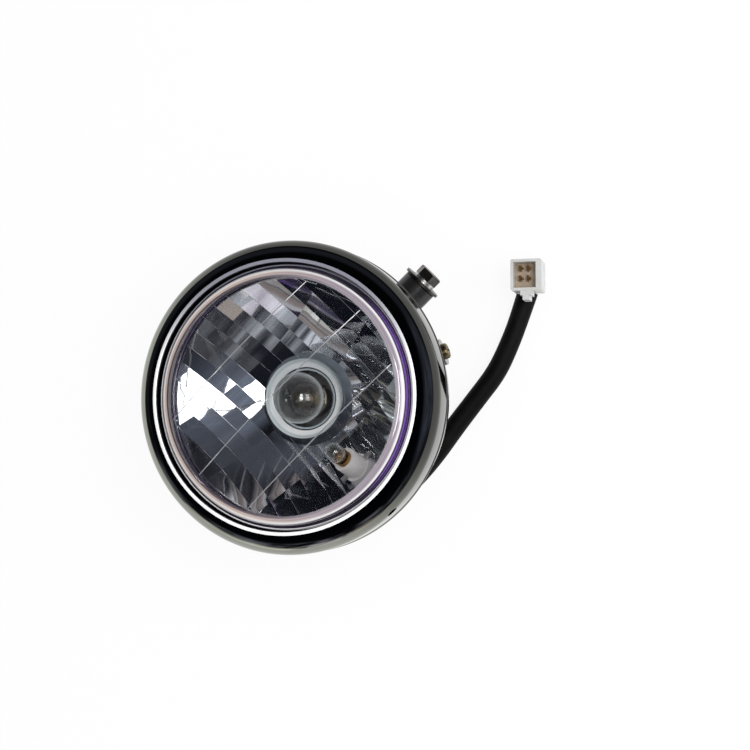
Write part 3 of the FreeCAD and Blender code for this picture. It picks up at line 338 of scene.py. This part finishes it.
class Paint:
    """A node tree being built: one method adds any node, others give common patterns."""

    def __init__(self, owner):
        owner.use_nodes = True
        self.tree = owner.node_tree
        self.tree.nodes.clear()

    def node(self, kind, settings=None, values=None, out=0):
        made = self.tree.nodes.new(kind)
        for name, value in (settings or {}).items():
            if name == "stops":
                self._set_stops(made.color_ramp, value)
            else:
                setattr(made, name, value)
        for name, value in (values or {}).items():
            self._feed(made.inputs[name], value)
        return Socket(self, made.outputs[out])

    def _feed(self, socket, value):
        if isinstance(value, Socket):
            self.tree.links.new(value.link, socket)
        else:
            socket.default_value = value

    @staticmethod
    def _set_stops(ramp, stops):
        while len(ramp.elements) < len(stops):
            ramp.elements.new(1.0)
        for element, (place, colour) in zip(ramp.elements, stops):
            element.position = place
            element.color = (*colour, 1.0)

    def place(self):
        return self.node("ShaderNodeTexCoord", out="Object")

    def stretched(self, scale):
        return self.node("ShaderNodeMapping", {}, {"Vector": self.place(), "Scale": scale})

    def axis(self, name, vector=None):
        """How far a vector, or else the place, reaches along X, Y or Z."""
        return self.node("ShaderNodeSeparateXYZ", {}, {"Vector": vector or self.place()}, out=name)

    def radius(self):
        """Distance from the lamp's axis."""
        x, y = self.axis("X"), self.axis("Y")
        return (x * x + y * y).root()

    def along(self, direction, vector=None):
        """How far a vector, or else the place, reaches along a direction."""
        return self.node("ShaderNodeVectorMath", {"operation": "DOT_PRODUCT"},
                         {0: vector or self.place(), 1: direction}, out="Value")

    def facing(self):
        """0 where the surface faces the viewer, 1 where it is seen edge on."""
        return self.node("ShaderNodeLayerWeight", {}, {"Blend": 0.5}, out="Facing")

    def light_path(self, name):
        return self.node("ShaderNodeLightPath", out=name)

    def noise(self, scale, detail=3.0, roughness=0.55, vector=None):
        values = {"Vector": vector or self.place(), "Scale": scale, "Detail": detail, "Roughness": roughness}
        return self.node("ShaderNodeTexNoise", {}, values)

    def colours(self, factor, stops):
        """Colours that follow a value from 0 to 1."""
        return self.node("ShaderNodeValToRGB", {"stops": stops}, {"Fac": factor})

    def blend(self, factor, first, second):
        """Mix of two colours; the Mix node's colour sockets share their names with its other ones."""
        made = self.tree.nodes.new("ShaderNodeMix")
        made.data_type = "RGBA"
        self._feed(made.inputs[0], factor)
        for socket, colour in ((made.inputs[6], first), (made.inputs[7], second)):
            self._feed(socket, colour if isinstance(colour, Socket) else (*colour, 1.0))
        return Socket(self, made.outputs[2])

    def bump(self, height, strength, distance):
        return self.node("ShaderNodeBump", {}, {"Height": height, "Strength": strength, "Distance": distance})

    def surface(self, colour, **values):
        """Principled shader; a plain colour is set on its socket."""
        settings = {"Base Color": colour if isinstance(colour, Socket) else (*colour, 1.0)}
        for name, value in values.items():
            settings[name.replace("_", " ").title().replace("Ior", "IOR")] = value
        return self.node("ShaderNodeBsdfPrincipled", {}, settings)

    def mix_shader(self, factor, first, second):
        return self.node("ShaderNodeMixShader", {}, {0: factor, 1: first, 2: second})

    def output(self, shader, kind="ShaderNodeOutputMaterial"):
        made = self.tree.nodes.new(kind)
        self.tree.links.new(shader.link, made.inputs["Surface"])


# Finishes

def new_finish(name):
    return Paint(bpy.data.materials.new(FINISH_PREFIX + name))


def find_finish(name):
    return bpy.data.materials[FINISH_PREFIX + name]


def chrome_plate(looks):
    """Chrome with painted reflection and shade: nearly black on the crown, grey on the flank and darker toward
    +X, up and right in the picture.
    """
    paint = new_finish("chrome_plate")
    smudge = paint.noise(28.0, 4.0).ramp(0.45, 0.75)
    film = paint.noise(160.0, 2.0)
    colour = paint.blend(smudge * 0.4, looks.chrome_and_painted_shade, PLATE_SMUDGE)
    # painted shade: the flank darkens toward +X, up and right in the picture
    colour = paint.blend(paint.axis("X").ramp(*FLANK_PAINTED_SHADE_SPAN), colour, PLATE_PAINTED_SHADE)
    # painted reflection: the crown is nearly black, its border leaning across the picture
    border = paint.radius() - paint.along(ACROSS) * CROWN_LEAN
    crown = border.falling(*CROWN_REFLECTION_RADII) * paint.axis("Z").ramp(*CROWN_FOOT)
    colour = paint.blend(crown, colour, PLATE_CROWN_REFLECTION)
    ripple = paint.bump(paint.noise(40.0, 1.0), 0.008, 0.0004)
    paint.output(paint.surface(colour, metallic=1.0, roughness=0.03 + smudge * 0.05 + film * 0.02,
                               normal=ripple))


def bright_lip():
    """Satin top of the rolled lip: white as a painted highlight, grey with painted shade up the picture."""
    paint = new_finish("bright_lip")
    wear = paint.noise(120.0, 3.0).ramp(0.4, 0.7)
    # painted highlight: white satin with random wear
    colour = paint.blend(wear, LIP_PAINTED_HIGHLIGHT, LIP_WORN)
    # painted shade: the lip turns grey up the picture
    colour = paint.blend(paint.along(ALONG).ramp(*LIP_SHADE), colour, LIP_PAINTED_SHADE)
    paint.output(paint.surface(colour, metallic=0.15, roughness=0.28 + wear * 0.08))


def black_enamel(looks):
    """Bucket's paint with a little dust and orange peel."""
    paint = new_finish("black_enamel")
    dust = paint.noise(60.0, 5.0).ramp(0.5, 0.8)
    peel = paint.bump(paint.noise(420.0, 2.0), 0.05, 0.0003)
    colour = paint.blend(dust * 0.25, looks.enamel, ENAMEL_DUST)
    paint.output(paint.surface(colour, roughness=0.14 + dust * 0.12, normal=peel, coat_weight=0.5,
                               coat_roughness=0.06))


def black_collar(looks):
    """Duller grained black of the side collars."""
    paint = new_finish("black_collar")
    grain = paint.noise(900.0, 3.0)
    wear = paint.noise(150.0, 3.0).ramp(0.55, 0.75)
    colour = paint.blend(wear * 0.4, looks.enamel, COLLAR_WEAR)
    paint.output(paint.surface(colour, roughness=0.32 + wear * 0.15, normal=paint.bump(grain, 0.12, 0.0002)))


def plated_metal(name, colour, stain, roughness):
    """Small plated hardware with a mottled film and fine grain."""
    paint = new_finish(name)
    mottle = paint.noise(180.0, 4.0).ramp(0.35, 0.7)
    grain = paint.noise(500.0, 2.0)
    shade = paint.blend(mottle, colour, stain)
    paint.output(paint.surface(shade, metallic=1.0, roughness=roughness + mottle * 0.12 + grain * 0.06,
                               normal=paint.bump(grain, 0.08, 0.0002)))


def satin_chrome():
    """The bulb's dish: a mostly diffuse plate with painted reflection in rings and painted shade up the
    picture.
    """
    paint = new_finish("satin_chrome")
    mottle = paint.noise(140.0, 4.0).ramp(0.4, 0.7)
    inner, outer = DISH_RADII
    # painted reflection: bright and dark rings by radius
    rings = paint.colours((paint.radius() - inner) / (outer - inner), DISH_PAINTED_REFLECTION_RINGS)
    # painted shade, up the picture
    shade = paint.along(ALONG).ramp(*DISH_SHADE) * 0.45
    colour = paint.blend(shade + mottle * 0.08, rings, DISH_PAINTED_SHADE)
    paint.output(paint.surface(colour, metallic=0.12, roughness=0.10 + mottle * 0.08))


def mirror_coat(looks):
    """Reflector's coat, hazy in places and duller along the borders of its strips."""
    paint = new_finish("mirror_coat")
    haze = paint.noise(40.0, 4.0).ramp(0.4, 0.75)
    colour = paint.blend(haze * 0.5, looks.mirror, MIRROR_HAZE)
    strip = ((paint.axis("X") + STRIPS_FROM) / STRIP_WIDTH).fraction()
    edge = abs(strip - 0.5).ramp(0.480, 0.496) * paint.noise(55.0, 3.0).ramp(0.38, 0.62)
    streak = paint.noise(240.0, 2.0, 0.5, paint.stretched((1.0, 0.10, 0.10)))
    paint.output(paint.surface(colour, metallic=1.0, roughness=0.025 + haze * 0.03 + edge * 0.42,
                               normal=paint.bump(streak, 0.004, 0.0004)))


def clear_glass(name, body_colour, density, gloss=1.0):
    """Thin clear glass: straight through, with gloss by angle and a tinted body as dense as given."""
    paint = new_finish(name)
    through = paint.node("ShaderNodeBsdfTransparent", {}, {"Color": (*GLASS_TINT, 1.0)})
    film = paint.noise(90.0, 3.0).ramp(0.45, 0.8)
    shine = paint.surface(WHITE, metallic=1.0, roughness=0.015 + film * 0.03)
    angle = 0.04 + paint.facing() ** 5.0 * 0.9
    if callable(body_colour):
        body_colour = body_colour(paint)
    if callable(density):
        density = density(paint)
    body = paint.surface(body_colour, roughness=0.12, coat_weight=1.0)
    paint.output(paint.mix_shader(angle * gloss, paint.mix_shader(density, through, body), shine))


def lens_edge_painted_light(paint):
    """Painted highlights and reflections of the lens's shoulder and wall, different left and right, from the
    dome's edge down to the flange.
    """
    centre_r, centre_z, _ = SHOULDER
    below = (centre_z * MM - paint.axis("Z")).above_zero()
    down = ((paint.radius() - centre_r * MM) + below) / EDGE_DEPTH
    side = paint.along(ACROSS)
    left, right = paint.colours(down, EDGE_LEFT_PAINTED_LIGHT), paint.colours(down, EDGE_RIGHT_PAINTED_LIGHT)
    # painted light: the left and right sides have their own highlights and reflections
    rings = paint.blend(side.ramp(*EDGE_TURN), left, right)
    # painted violet reflection, only at the picture's right
    painted_violet = side.ramp(*PAINTED_VIOLET_SIDE) * down.ramp(*VIOLET_FOOT)
    return paint.blend(painted_violet, rings, EDGE_PAINTED_VIOLET)


def lens_edge_density(paint):
    """Clear in the dome, milky with fine rings in the shoulder and wall."""
    radius = paint.radius()
    shoulder = radius.ramp(*EDGE_STARTS, 0.0, 0.88)
    rings = abs((radius / RING_PITCH).fraction() - 0.5).ramp(0.05, 0.45, 0.80, 1.0)
    return shoulder * radius.falling(*EDGE_ENDS) * rings


def bulb_density(paint):
    """Bulb glass turns grey where it is seen edge on."""
    return 0.012 + paint.facing() ** 3.5 * 0.9


def plug_nylon(looks):
    """Milky nylon, with painted shade darker and browner down in the plug's socket."""
    paint = new_finish("clear_nylon")
    across = paint.along(PLUG_ACROSS) - (PLUG_MIDDLE.dot(PLUG_ACROSS) + SOCKET_SHIFT)
    along = paint.along(PLUG_ALONG) - PLUG_MIDDLE.dot(PLUG_ALONG)
    inside = (abs(across) < SOCKET_HALF[0]) * (abs(along) < SOCKET_HALF[1])
    cloud = paint.noise(110.0, 4.0).ramp(0.4, 0.75)
    shade = paint.blend(cloud, looks.nylon, NYLON_CLOUD)
    # painted shade in the socket's recess
    shade = paint.blend(inside * paint.axis("Z").falling(*SOCKET_DEPTHS), shade, NYLON_SOCKET_PAINTED_SHADE)
    skin = paint.bump(paint.noise(500.0, 3.0), 0.05, 0.0003)
    paint.output(paint.surface(shade, roughness=0.3 + cloud * 0.1, normal=skin, subsurface_weight=0.25,
                               subsurface_radius=(0.003, 0.003, 0.003)))


def soft_plastic(name, colour, stain, roughness, grain=700.0, bump=0.08, **extra):
    """Moulded plastic or rubber with a fine skin and slight staining."""
    paint = new_finish(name)
    cloud = paint.noise(110.0, 4.0).ramp(0.4, 0.75)
    skin = paint.noise(grain, 3.0)
    shade = paint.blend(cloud, colour, stain)
    paint.output(paint.surface(shade, roughness=roughness + cloud * 0.1 + skin * 0.06,
                               normal=paint.bump(skin, bump, 0.0003), **extra))


def make_finishes(looks):
    """Makes every finish; most are named for the record's slot that they dress."""
    for paint_finish in (black_enamel, black_collar, chrome_plate, mirror_coat, plug_nylon):
        paint_finish(looks)
    satin_chrome()
    bright_lip()
    clear_glass("lens_glass", lens_edge_painted_light, lens_edge_density)
    clear_glass("lens_line", LINE_GREY, 0.85)
    clear_glass("bulb_glass", BULB_GREY, bulb_density, 1.5)
    soft_plastic("violet_seal", looks.seal, SEAL_STAIN, 0.3)
    soft_plastic("black_vinyl", looks.vinyl, VINYL_STAIN, 0.50, 260.0, 0.12, specular_ior_level=0.09)
    for name, look in PLATED.items():
        plated_metal(name, *look)
    for name, look in MOULDED.items():
        soft_plastic(name, *look)


# Modelling helpers

def deselect_all():
    if bpy.context.mode != "OBJECT":
        bpy.ops.object.mode_set(mode="OBJECT")
    bpy.ops.object.select_all(action="DESELECT")


def dress(piece, slot, nodes=(), finish_name=None):
    """Gives a new piece its finish and its body, and hides the solids that it stands for."""
    if piece.type == "MESH" and not piece.data.polygons:
        raise RuntimeError(f"{piece.name} came out with no faces")
    piece.data.materials.clear()
    piece.data.materials.append(find_finish(finish_name or slot))
    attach(piece, BODY)
    if nodes:
        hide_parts(*nodes)


def oval(centre_r, centre_z, half_width, half_height, start, end, steps):
    """Points of an oval's arc in a half section, angles in degrees from the radius's outward direction."""
    angles = [math.radians(start + (end - start) * step / steps) for step in range(steps + 1)]
    return [(centre_r + half_width * math.cos(angle), centre_z + half_height * math.sin(angle))
            for angle in angles]


def arc(centre_r, centre_z, radius, start, end, steps):
    """Points of a round arc in a half section."""
    return oval(centre_r, centre_z, radius, radius, start, end, steps)


def turned(name, section, steps):
    """A piece turned about the lamp's axis from a closed half section in millimetres."""
    deselect_all()
    bpy.ops.mesh.primitive_plane_add(size=MM, location=(0, 0, 0))
    piece = bpy.context.object
    piece.name = name
    bpy.ops.object.mode_set(mode="EDIT")
    bpy.ops.mesh.select_all(action="SELECT")
    bpy.ops.mesh.merge(type="CENTER")
    points = [Vector((radius, 0, height)) * MM for radius, height in (*section, section[0])]
    bpy.ops.transform.translate(value=points[0])
    for here, there in zip(points, points[1:]):
        bpy.ops.mesh.extrude_region_move(TRANSFORM_OT_translate={"value": there - here})
    bpy.ops.mesh.select_all(action="SELECT")
    bpy.ops.mesh.spin(steps=steps, angle=math.tau, center=(0, 0, 0), axis=(0, 0, 1))
    tidy_mesh()
    return piece


def tidy_mesh():
    """Joins doubled points, turns the faces outward and leaves edit mode."""
    bpy.ops.mesh.select_all(action="SELECT")
    bpy.ops.mesh.remove_doubles(threshold=0.001 * MM)
    bpy.ops.mesh.normals_make_consistent(inside=False)
    bpy.ops.object.mode_set(mode="OBJECT")
    bpy.ops.object.shade_smooth_by_angle(angle=SMOOTH_UNDER)


class LampLooks(bpy.types.PropertyGroup):
    """Colours that a user would change."""

    # chrome darkened to grey: painted reflection of a shaded floor on the flank
    chrome_and_painted_shade: bpy.props.FloatVectorProperty(
        name="Chrome", description="Colour of the plated rim", subtype="COLOR", default=(0.30, 0.305, 0.27))
    enamel: bpy.props.FloatVectorProperty(
        name="Enamel", description="Colour of the bucket's paint", subtype="COLOR",
        default=(0.012, 0.012, 0.013))
    mirror: bpy.props.FloatVectorProperty(
        name="Mirror", description="Colour of the reflector's coat", subtype="COLOR",
        default=(0.86, 0.87, 0.90))
    seal: bpy.props.FloatVectorProperty(
        name="Seal", description="Colour of the lens seal", subtype="COLOR", default=(0.050, 0.036, 0.080))
    vinyl: bpy.props.FloatVectorProperty(
        name="Vinyl", description="Colour of the harness sleeve", subtype="COLOR",
        default=(0.003, 0.003, 0.0033))
    nylon: bpy.props.FloatVectorProperty(
        name="Nylon", description="Colour of the plug", subtype="COLOR", default=(0.55, 0.56, 0.555))


class LampSizes(bpy.types.PropertyGroup):
    """Sizes that a user would change."""

    sleeve_diameter: bpy.props.FloatProperty(
        name="Sleeve", description="Diameter of the harness sleeve", default=0.014, unit="LENGTH")
    floor_size: bpy.props.FloatProperty(
        name="Floor", description="Width of the floor", default=24.0, unit="LENGTH")


class LampStage(bpy.types.Operator):
    """Places the camera, the floor, the soft light panels and the room round them"""

    bl_idname = "headlight.stage"
    bl_label = "Stage"

    def execute(self, context):
        self.set_camera(context)
        self.set_floor(context)
        self.set_lights(context)
        self.set_world(context)
        context.scene.view_settings.view_transform = "Standard"
        return {"FINISHED"}

    def set_camera(self, context):
        deselect_all()
        bpy.ops.object.camera_add()
        camera = context.object
        camera.name = "photo_camera"
        turn = Matrix((CAMERA_RIGHT, CAMERA_UP, CAMERA_BACK)).transposed()
        camera.matrix_world = Matrix.Translation(CAMERA_PLACE) @ turn.to_4x4()
        camera.data.sensor_width = SENSOR
        camera.data.lens = FOCAL_PIXELS * SENSOR / PHOTO_PIXELS
        camera.data.clip_start = NEAREST_SEEN
        context.scene.camera = camera

    def set_floor(self, context):
        """A floor that is white to the camera, to mirrors and to glass, and keeps the shadow."""
        deselect_all()
        bpy.ops.mesh.primitive_plane_add(size=context.scene.lamp_sizes.floor_size, location=(0, 0, 0))
        floor = context.object
        floor.name = "stage_floor"
        paint = new_finish("stage_floor")
        lit = paint.node("ShaderNodeBsdfDiffuse", {}, {"Color": (*FLOOR_GREY, 1.0)})
        glow = paint.node("ShaderNodeEmission", {}, {"Color": (*WHITE, 1.0), "Strength": 1.0})
        seen = paint.light_path("Is Camera Ray")
        mirrored = paint.light_path("Is Glossy Ray")
        passed = paint.light_path("Is Transmission Ray")
        paint.output(paint.mix_shader((seen + mirrored + passed) * FLOOR_GLOW, lit, glow))
        floor.data.materials.append(find_finish("stage_floor"))

    def set_lights(self, context):
        for name, place, size, glow, tint in PANELS:
            deselect_all()
            bpy.ops.object.light_add(type="AREA", location=place)
            panel = context.object
            panel.name = name
            panel.data.shape = "RECTANGLE"
            panel.data.size, panel.data.size_y = size
            panel.data.color = tint
            panel.data.energy = glow * size[0] * size[1] * math.pi
            back = (Vector(place) - PANELS_AIM).normalized()
            side = Vector(ALONG).cross(back).normalized()
            panel.rotation_euler = Matrix((side, back.cross(side), back)).transposed().to_euler()

    def set_world(self, context):
        """A room with a white wall, dim and patchy above it, and plain grey to scattered light."""
        world = bpy.data.worlds.new("studio")
        context.scene.world = world
        paint = Paint(world)
        heading = paint.node("ShaderNodeTexCoord", out="Generated")
        height = paint.axis("Z", heading)
        behind = paint.along(ALONG, heading).ramp(-0.1, 0.5, 1.0, 0.12)
        haze = height.ramp(0.22, 0.42) * height.falling(0.62, 0.82)
        far_side = paint.blend(haze, FAR_SIDE, FAR_HAZE)
        room = paint.blend(behind, far_side, paint.colours(height, ROOM_TONES))

        patches = paint.noise(3.6, 5.0, 0.6, heading).ramp(0.38, 0.66)
        glow = paint.along(GLOW_FROM, heading).ramp(0.45, 0.98, 0.08, 1.0)
        room = paint.blend(patches * height.falling(0.56, 0.72) * glow * behind, room, PATCH_WHITE)
        fringe = paint.along(FRINGE_FROM, heading).ramp(0.80, 0.99) * (0.35 + patches * 0.65)
        room = paint.blend(fringe * 0.8, room, FRINGE_BLUE)
        strip = abs(height - LEFT_STRIP).falling(0.10, 0.14)
        room = paint.blend(strip * paint.along(ACROSS, heading).falling(-0.62, -0.30), room, WHITE)

        room = paint.blend(paint.light_path("Diffuse Depth") > 0.5, room, ROOM_GREY)
        room = paint.blend(height.falling(*ROOM_WALL), room, WHITE)
        paint.output(paint.node("ShaderNodeBackground", {}, {"Color": room, "Strength": 1.0}),
                     "ShaderNodeOutputWorld")


class LampFinishes(bpy.types.Operator):
    """Makes every finish and gives each solid its own"""

    bl_idname = "headlight.finishes"
    bl_label = "Finishes"

    def execute(self, context):
        make_finishes(context.scene.lamp_looks)
        slots = {entry["node"]: entry["material_slot"] for entry in frame["record"]["subparts"]}
        for name, node in NODES.items():
            material = find_finish(OWN_FINISH.get(name, slots[name]))
            if not node.material_slots:
                node.data.materials.append(material)
            for slot in node.material_slots:
                slot.material = material
        return {"FINISHED"}


class LampRim(bpy.types.Operator):
    """Turns the plated rim with its drain slot, and the satin trim on its lip and return, white as a painted
    highlight
    """

    bl_idname = "headlight.rim"
    bl_label = "Chrome rim"

    def execute(self, context):
        rim = turned("rim_skin", self.section(), RIM_STEPS)
        self.cut_drain(rim)
        dress(rim, "chrome_plate", ["chrome_rim"])
        self.keep_dark(rim)
        lip_r, lip_z, roll = LIP_ROLL
        top = arc(lip_r, lip_z, LIP_TOP, *LIP_SPAN, TOP_STEPS)
        under = arc(lip_r, lip_z, roll - LIP_SUNK, *LIP_SPAN[::-1], TOP_STEPS)
        dress(turned("rim_lip", [*top, *under], RIM_STEPS), "chrome_plate", finish_name="bright_lip")
        bead = turned("rim_bead", arc(*RETURN_BEAD, *BEAD_ARC), BEAD_STEPS)
        dress(bead, "chrome_plate", finish_name="bright_lip")
        return {"FINISHED"}

    def section(self):
        """Return, rolled lip, crown, flank and hem, then back inside the sheet."""
        crown_r, crown_z, half_width, half_height = CROWN
        inside = oval(crown_r, crown_z, half_width - RIM_SHEET, half_height - RIM_SHEET, *INSIDE_ARC)
        hem_r, hem_z, _ = HEM_BEAD
        foot_out, foot_up = FLANK_FOOT
        flank_foot = (hem_r + foot_out, hem_z + foot_up)
        hem_end = (hem_r, hem_z + HEM_INSIDE)
        return [RETURN_EDGE, *arc(*LIP_ROLL, *LIP_ARC), *oval(*CROWN, *CROWN_ARC), flank_foot,
                *arc(*HEM_BEAD, *HEM_ARC), hem_end, *inside, *RETURN_INSIDE]

    def keep_dark(self, rim):
        """Leaves the two bright panels out of what the rim mirrors."""
        unlit = bpy.data.collections.new("unlit_by_panels")
        unlit.objects.link(rim)
        unlit.collection_objects[0].light_linking.link_state = "EXCLUDE"
        for name in HIDDEN_FROM_RIM:
            bpy.data.objects[name].light_linking.receiver_collection = unlit

    def cut_drain(self, rim):
        deselect_all()
        bpy.ops.mesh.primitive_cylinder_add(vertices=32, radius=DRAIN_R * MM, depth=DRAIN_DEPTH * MM,
                                            location=DRAIN_PLACE * MM, rotation=(math.pi / 2, 0, 0))
        cutter = bpy.context.object
        cutter.scale = (DRAIN_STRETCH, 1, 1)
        bpy.ops.object.transform_apply(location=True, rotation=True, scale=True)
        deselect_all()
        bpy.context.view_layer.objects.active = rim
        rim.select_set(True)
        bpy.ops.object.modifier_add(type="BOOLEAN")
        cut = rim.modifiers[-1]
        cut.object = cutter
        cut.operation = "DIFFERENCE"
        cut.solver = "EXACT"
        bpy.ops.object.modifier_apply(modifier=cut.name)
        bpy.ops.object.shade_smooth_by_angle(angle=SMOOTH_UNDER)
        deselect_all()
        cutter.select_set(True)
        bpy.ops.object.delete()


class LampLens(bpy.types.Operator):
    """Turns the domed lens with its stepped shoulder and lays the moulded lines inside it"""

    bl_idname = "headlight.lens"
    bl_label = "Lens"

    def execute(self, context):
        self.make_glass()
        self.make_ribs()
        return {"FINISHED"}

    def dome(self, drop, reach):
        """Dome points from the crown out to a radius, a drop below the outer skin."""
        radius = DOME_R - drop
        edge = math.asin(reach / radius)
        angles = [edge * step / DOME_STEPS for step in range(DOME_STEPS + 1)]
        return [(radius * math.sin(angle), DOME_CENTRE + radius * math.cos(angle)) for angle in angles]

    def make_glass(self):
        centre_r, centre_z, round_r = SHOULDER
        wall_r = centre_r + round_r
        flange_r, flange_top, flange_under = FLANGE
        outer = self.dome(0, DOME_REACH)
        edge_z = outer[-1][1]
        step = [(radius, edge_z - drop) for radius, drop in EDGE_STEP]
        shoulder = arc(*SHOULDER, *SHOULDER_ARC)
        foot = [(wall_r, flange_top), (flange_r, flange_top), (flange_r, flange_under),
                (wall_r - GLASS, flange_under)]
        inner_round = arc(centre_r, centre_z, round_r - GLASS, *SHOULDER_ARC_INSIDE)
        inner = self.dome(GLASS, DOME_REACH_INSIDE)[::-1]
        lens = turned("lens_skin", [*outer, *step, *shoulder, *foot, *inner_round, *inner], LENS_STEPS)
        dress(lens, "lens_glass", ["lens"])

    def make_ribs(self):
        ribs = [self.make_rib(height) for height in RIB_LINES]
        deselect_all()
        for rib in ribs:
            rib.select_set(True)
        bpy.context.view_layer.objects.active = ribs[0]
        bpy.ops.object.join()
        ribs[0].name = "lens_lines"
        dress(ribs[0], "lens_glass", finish_name="lens_line")

    def make_rib(self, height):
        """One long line that follows the dome's inner skin."""
        under = DOME_R - GLASS + RIB_R / 2
        swing_r = math.sqrt(under ** 2 - height ** 2)
        reach = math.sqrt(RIB_REACH ** 2 - height ** 2)
        half_turn = math.asin(reach / swing_r)
        start = Vector((-swing_r * math.sin(half_turn), height, DOME_CENTRE + swing_r * math.cos(half_turn)))
        deselect_all()
        bpy.ops.mesh.primitive_circle_add(vertices=8, radius=RIB_R * MM, fill_type="NGON", location=start * MM,
                                          rotation=(0, math.pi / 2 - half_turn, 0))
        bpy.ops.object.transform_apply(location=True, rotation=True, scale=True)
        bpy.ops.object.mode_set(mode="EDIT")
        bpy.ops.mesh.select_all(action="SELECT")
        bpy.ops.mesh.spin(steps=RIB_STEPS, angle=-2 * half_turn, center=(0, height * MM, DOME_CENTRE * MM),
                          axis=(0, 1, 0))
        tidy_mesh()
        return bpy.context.object


class LampSeat(bpy.types.Operator):
    """Turns the bright dish round the bulb"""

    bl_idname = "headlight.seat"
    bl_label = "Bulb dish"

    def execute(self, context):
        seat = turned("seat_dish", [*arc(*DISH_CURVE, *DISH_ARC), *DISH_BACK], DISH_STEPS)
        dress(seat, "chrome_plate", finish_name="satin_chrome")
        return {"FINISHED"}


class LampHarness(bpy.types.Operator):
    """Lays the harness sleeve along its route, ending in its plug"""

    bl_idname = "headlight.harness"
    bl_label = "Harness"

    def execute(self, context):
        diameter = context.scene.lamp_sizes.sleeve_diameter
        curve = bpy.data.curves.new("harness_sleeve_skin", "CURVE")
        curve.dimensions = "3D"
        spline = curve.splines.new("NURBS")
        spline.points.add(len(ROUTE) - 1)
        for point, place, share in zip(spline.points, ROUTE, SLEEVE_TAPER):
            point.co = (*place, 1.0)
            point.radius = share
        spline.order_u = 3
        spline.use_endpoint_u = True
        spline.resolution_u = SLEEVE_FINENESS
        curve.bevel_depth = diameter / 2
        curve.bevel_resolution = SLEEVE_FINENESS
        curve.use_fill_caps = True
        sleeve = bpy.data.objects.new("harness_sleeve_skin", curve)
        context.collection.objects.link(sleeve)
        dress(sleeve, "black_vinyl", ["harness_sleeve"])
        return {"FINISHED"}


class LampPanel(bpy.types.Panel):
    """Shows the headlight's steps, sizes and colours"""

    bl_idname = "VIEW3D_PT_headlight"
    bl_label = "Headlight"
    bl_space_type = "VIEW_3D"
    bl_region_type = "UI"
    bl_category = "Headlight"

    def draw(self, context):
        for operator in STEPS:
            self.layout.operator(operator.bl_idname)
        for group in (context.scene.lamp_sizes, context.scene.lamp_looks):
            for name in group.__annotations__:
                self.layout.prop(group, name)


STEPS = (LampStage, LampFinishes, LampRim, LampLens, LampSeat, LampHarness)
CLASSES = (LampLooks, LampSizes, *STEPS, LampPanel)


def register():
    for part in CLASSES:
        bpy.utils.register_class(part)
    bpy.types.Scene.lamp_looks = bpy.props.PointerProperty(type=LampLooks)
    bpy.types.Scene.lamp_sizes = bpy.props.PointerProperty(type=LampSizes)


def unregister():
    del bpy.types.Scene.lamp_sizes
    del bpy.types.Scene.lamp_looks
    for part in reversed(CLASSES):
        bpy.utils.unregister_class(part)


def main():
    register()
    bpy.ops.headlight.stage()
    bpy.ops.headlight.finishes()
    bpy.ops.headlight.rim()
    bpy.ops.headlight.lens()
    bpy.ops.headlight.seat()
    bpy.ops.headlight.harness()


if __name__ == "__main__":
    main()
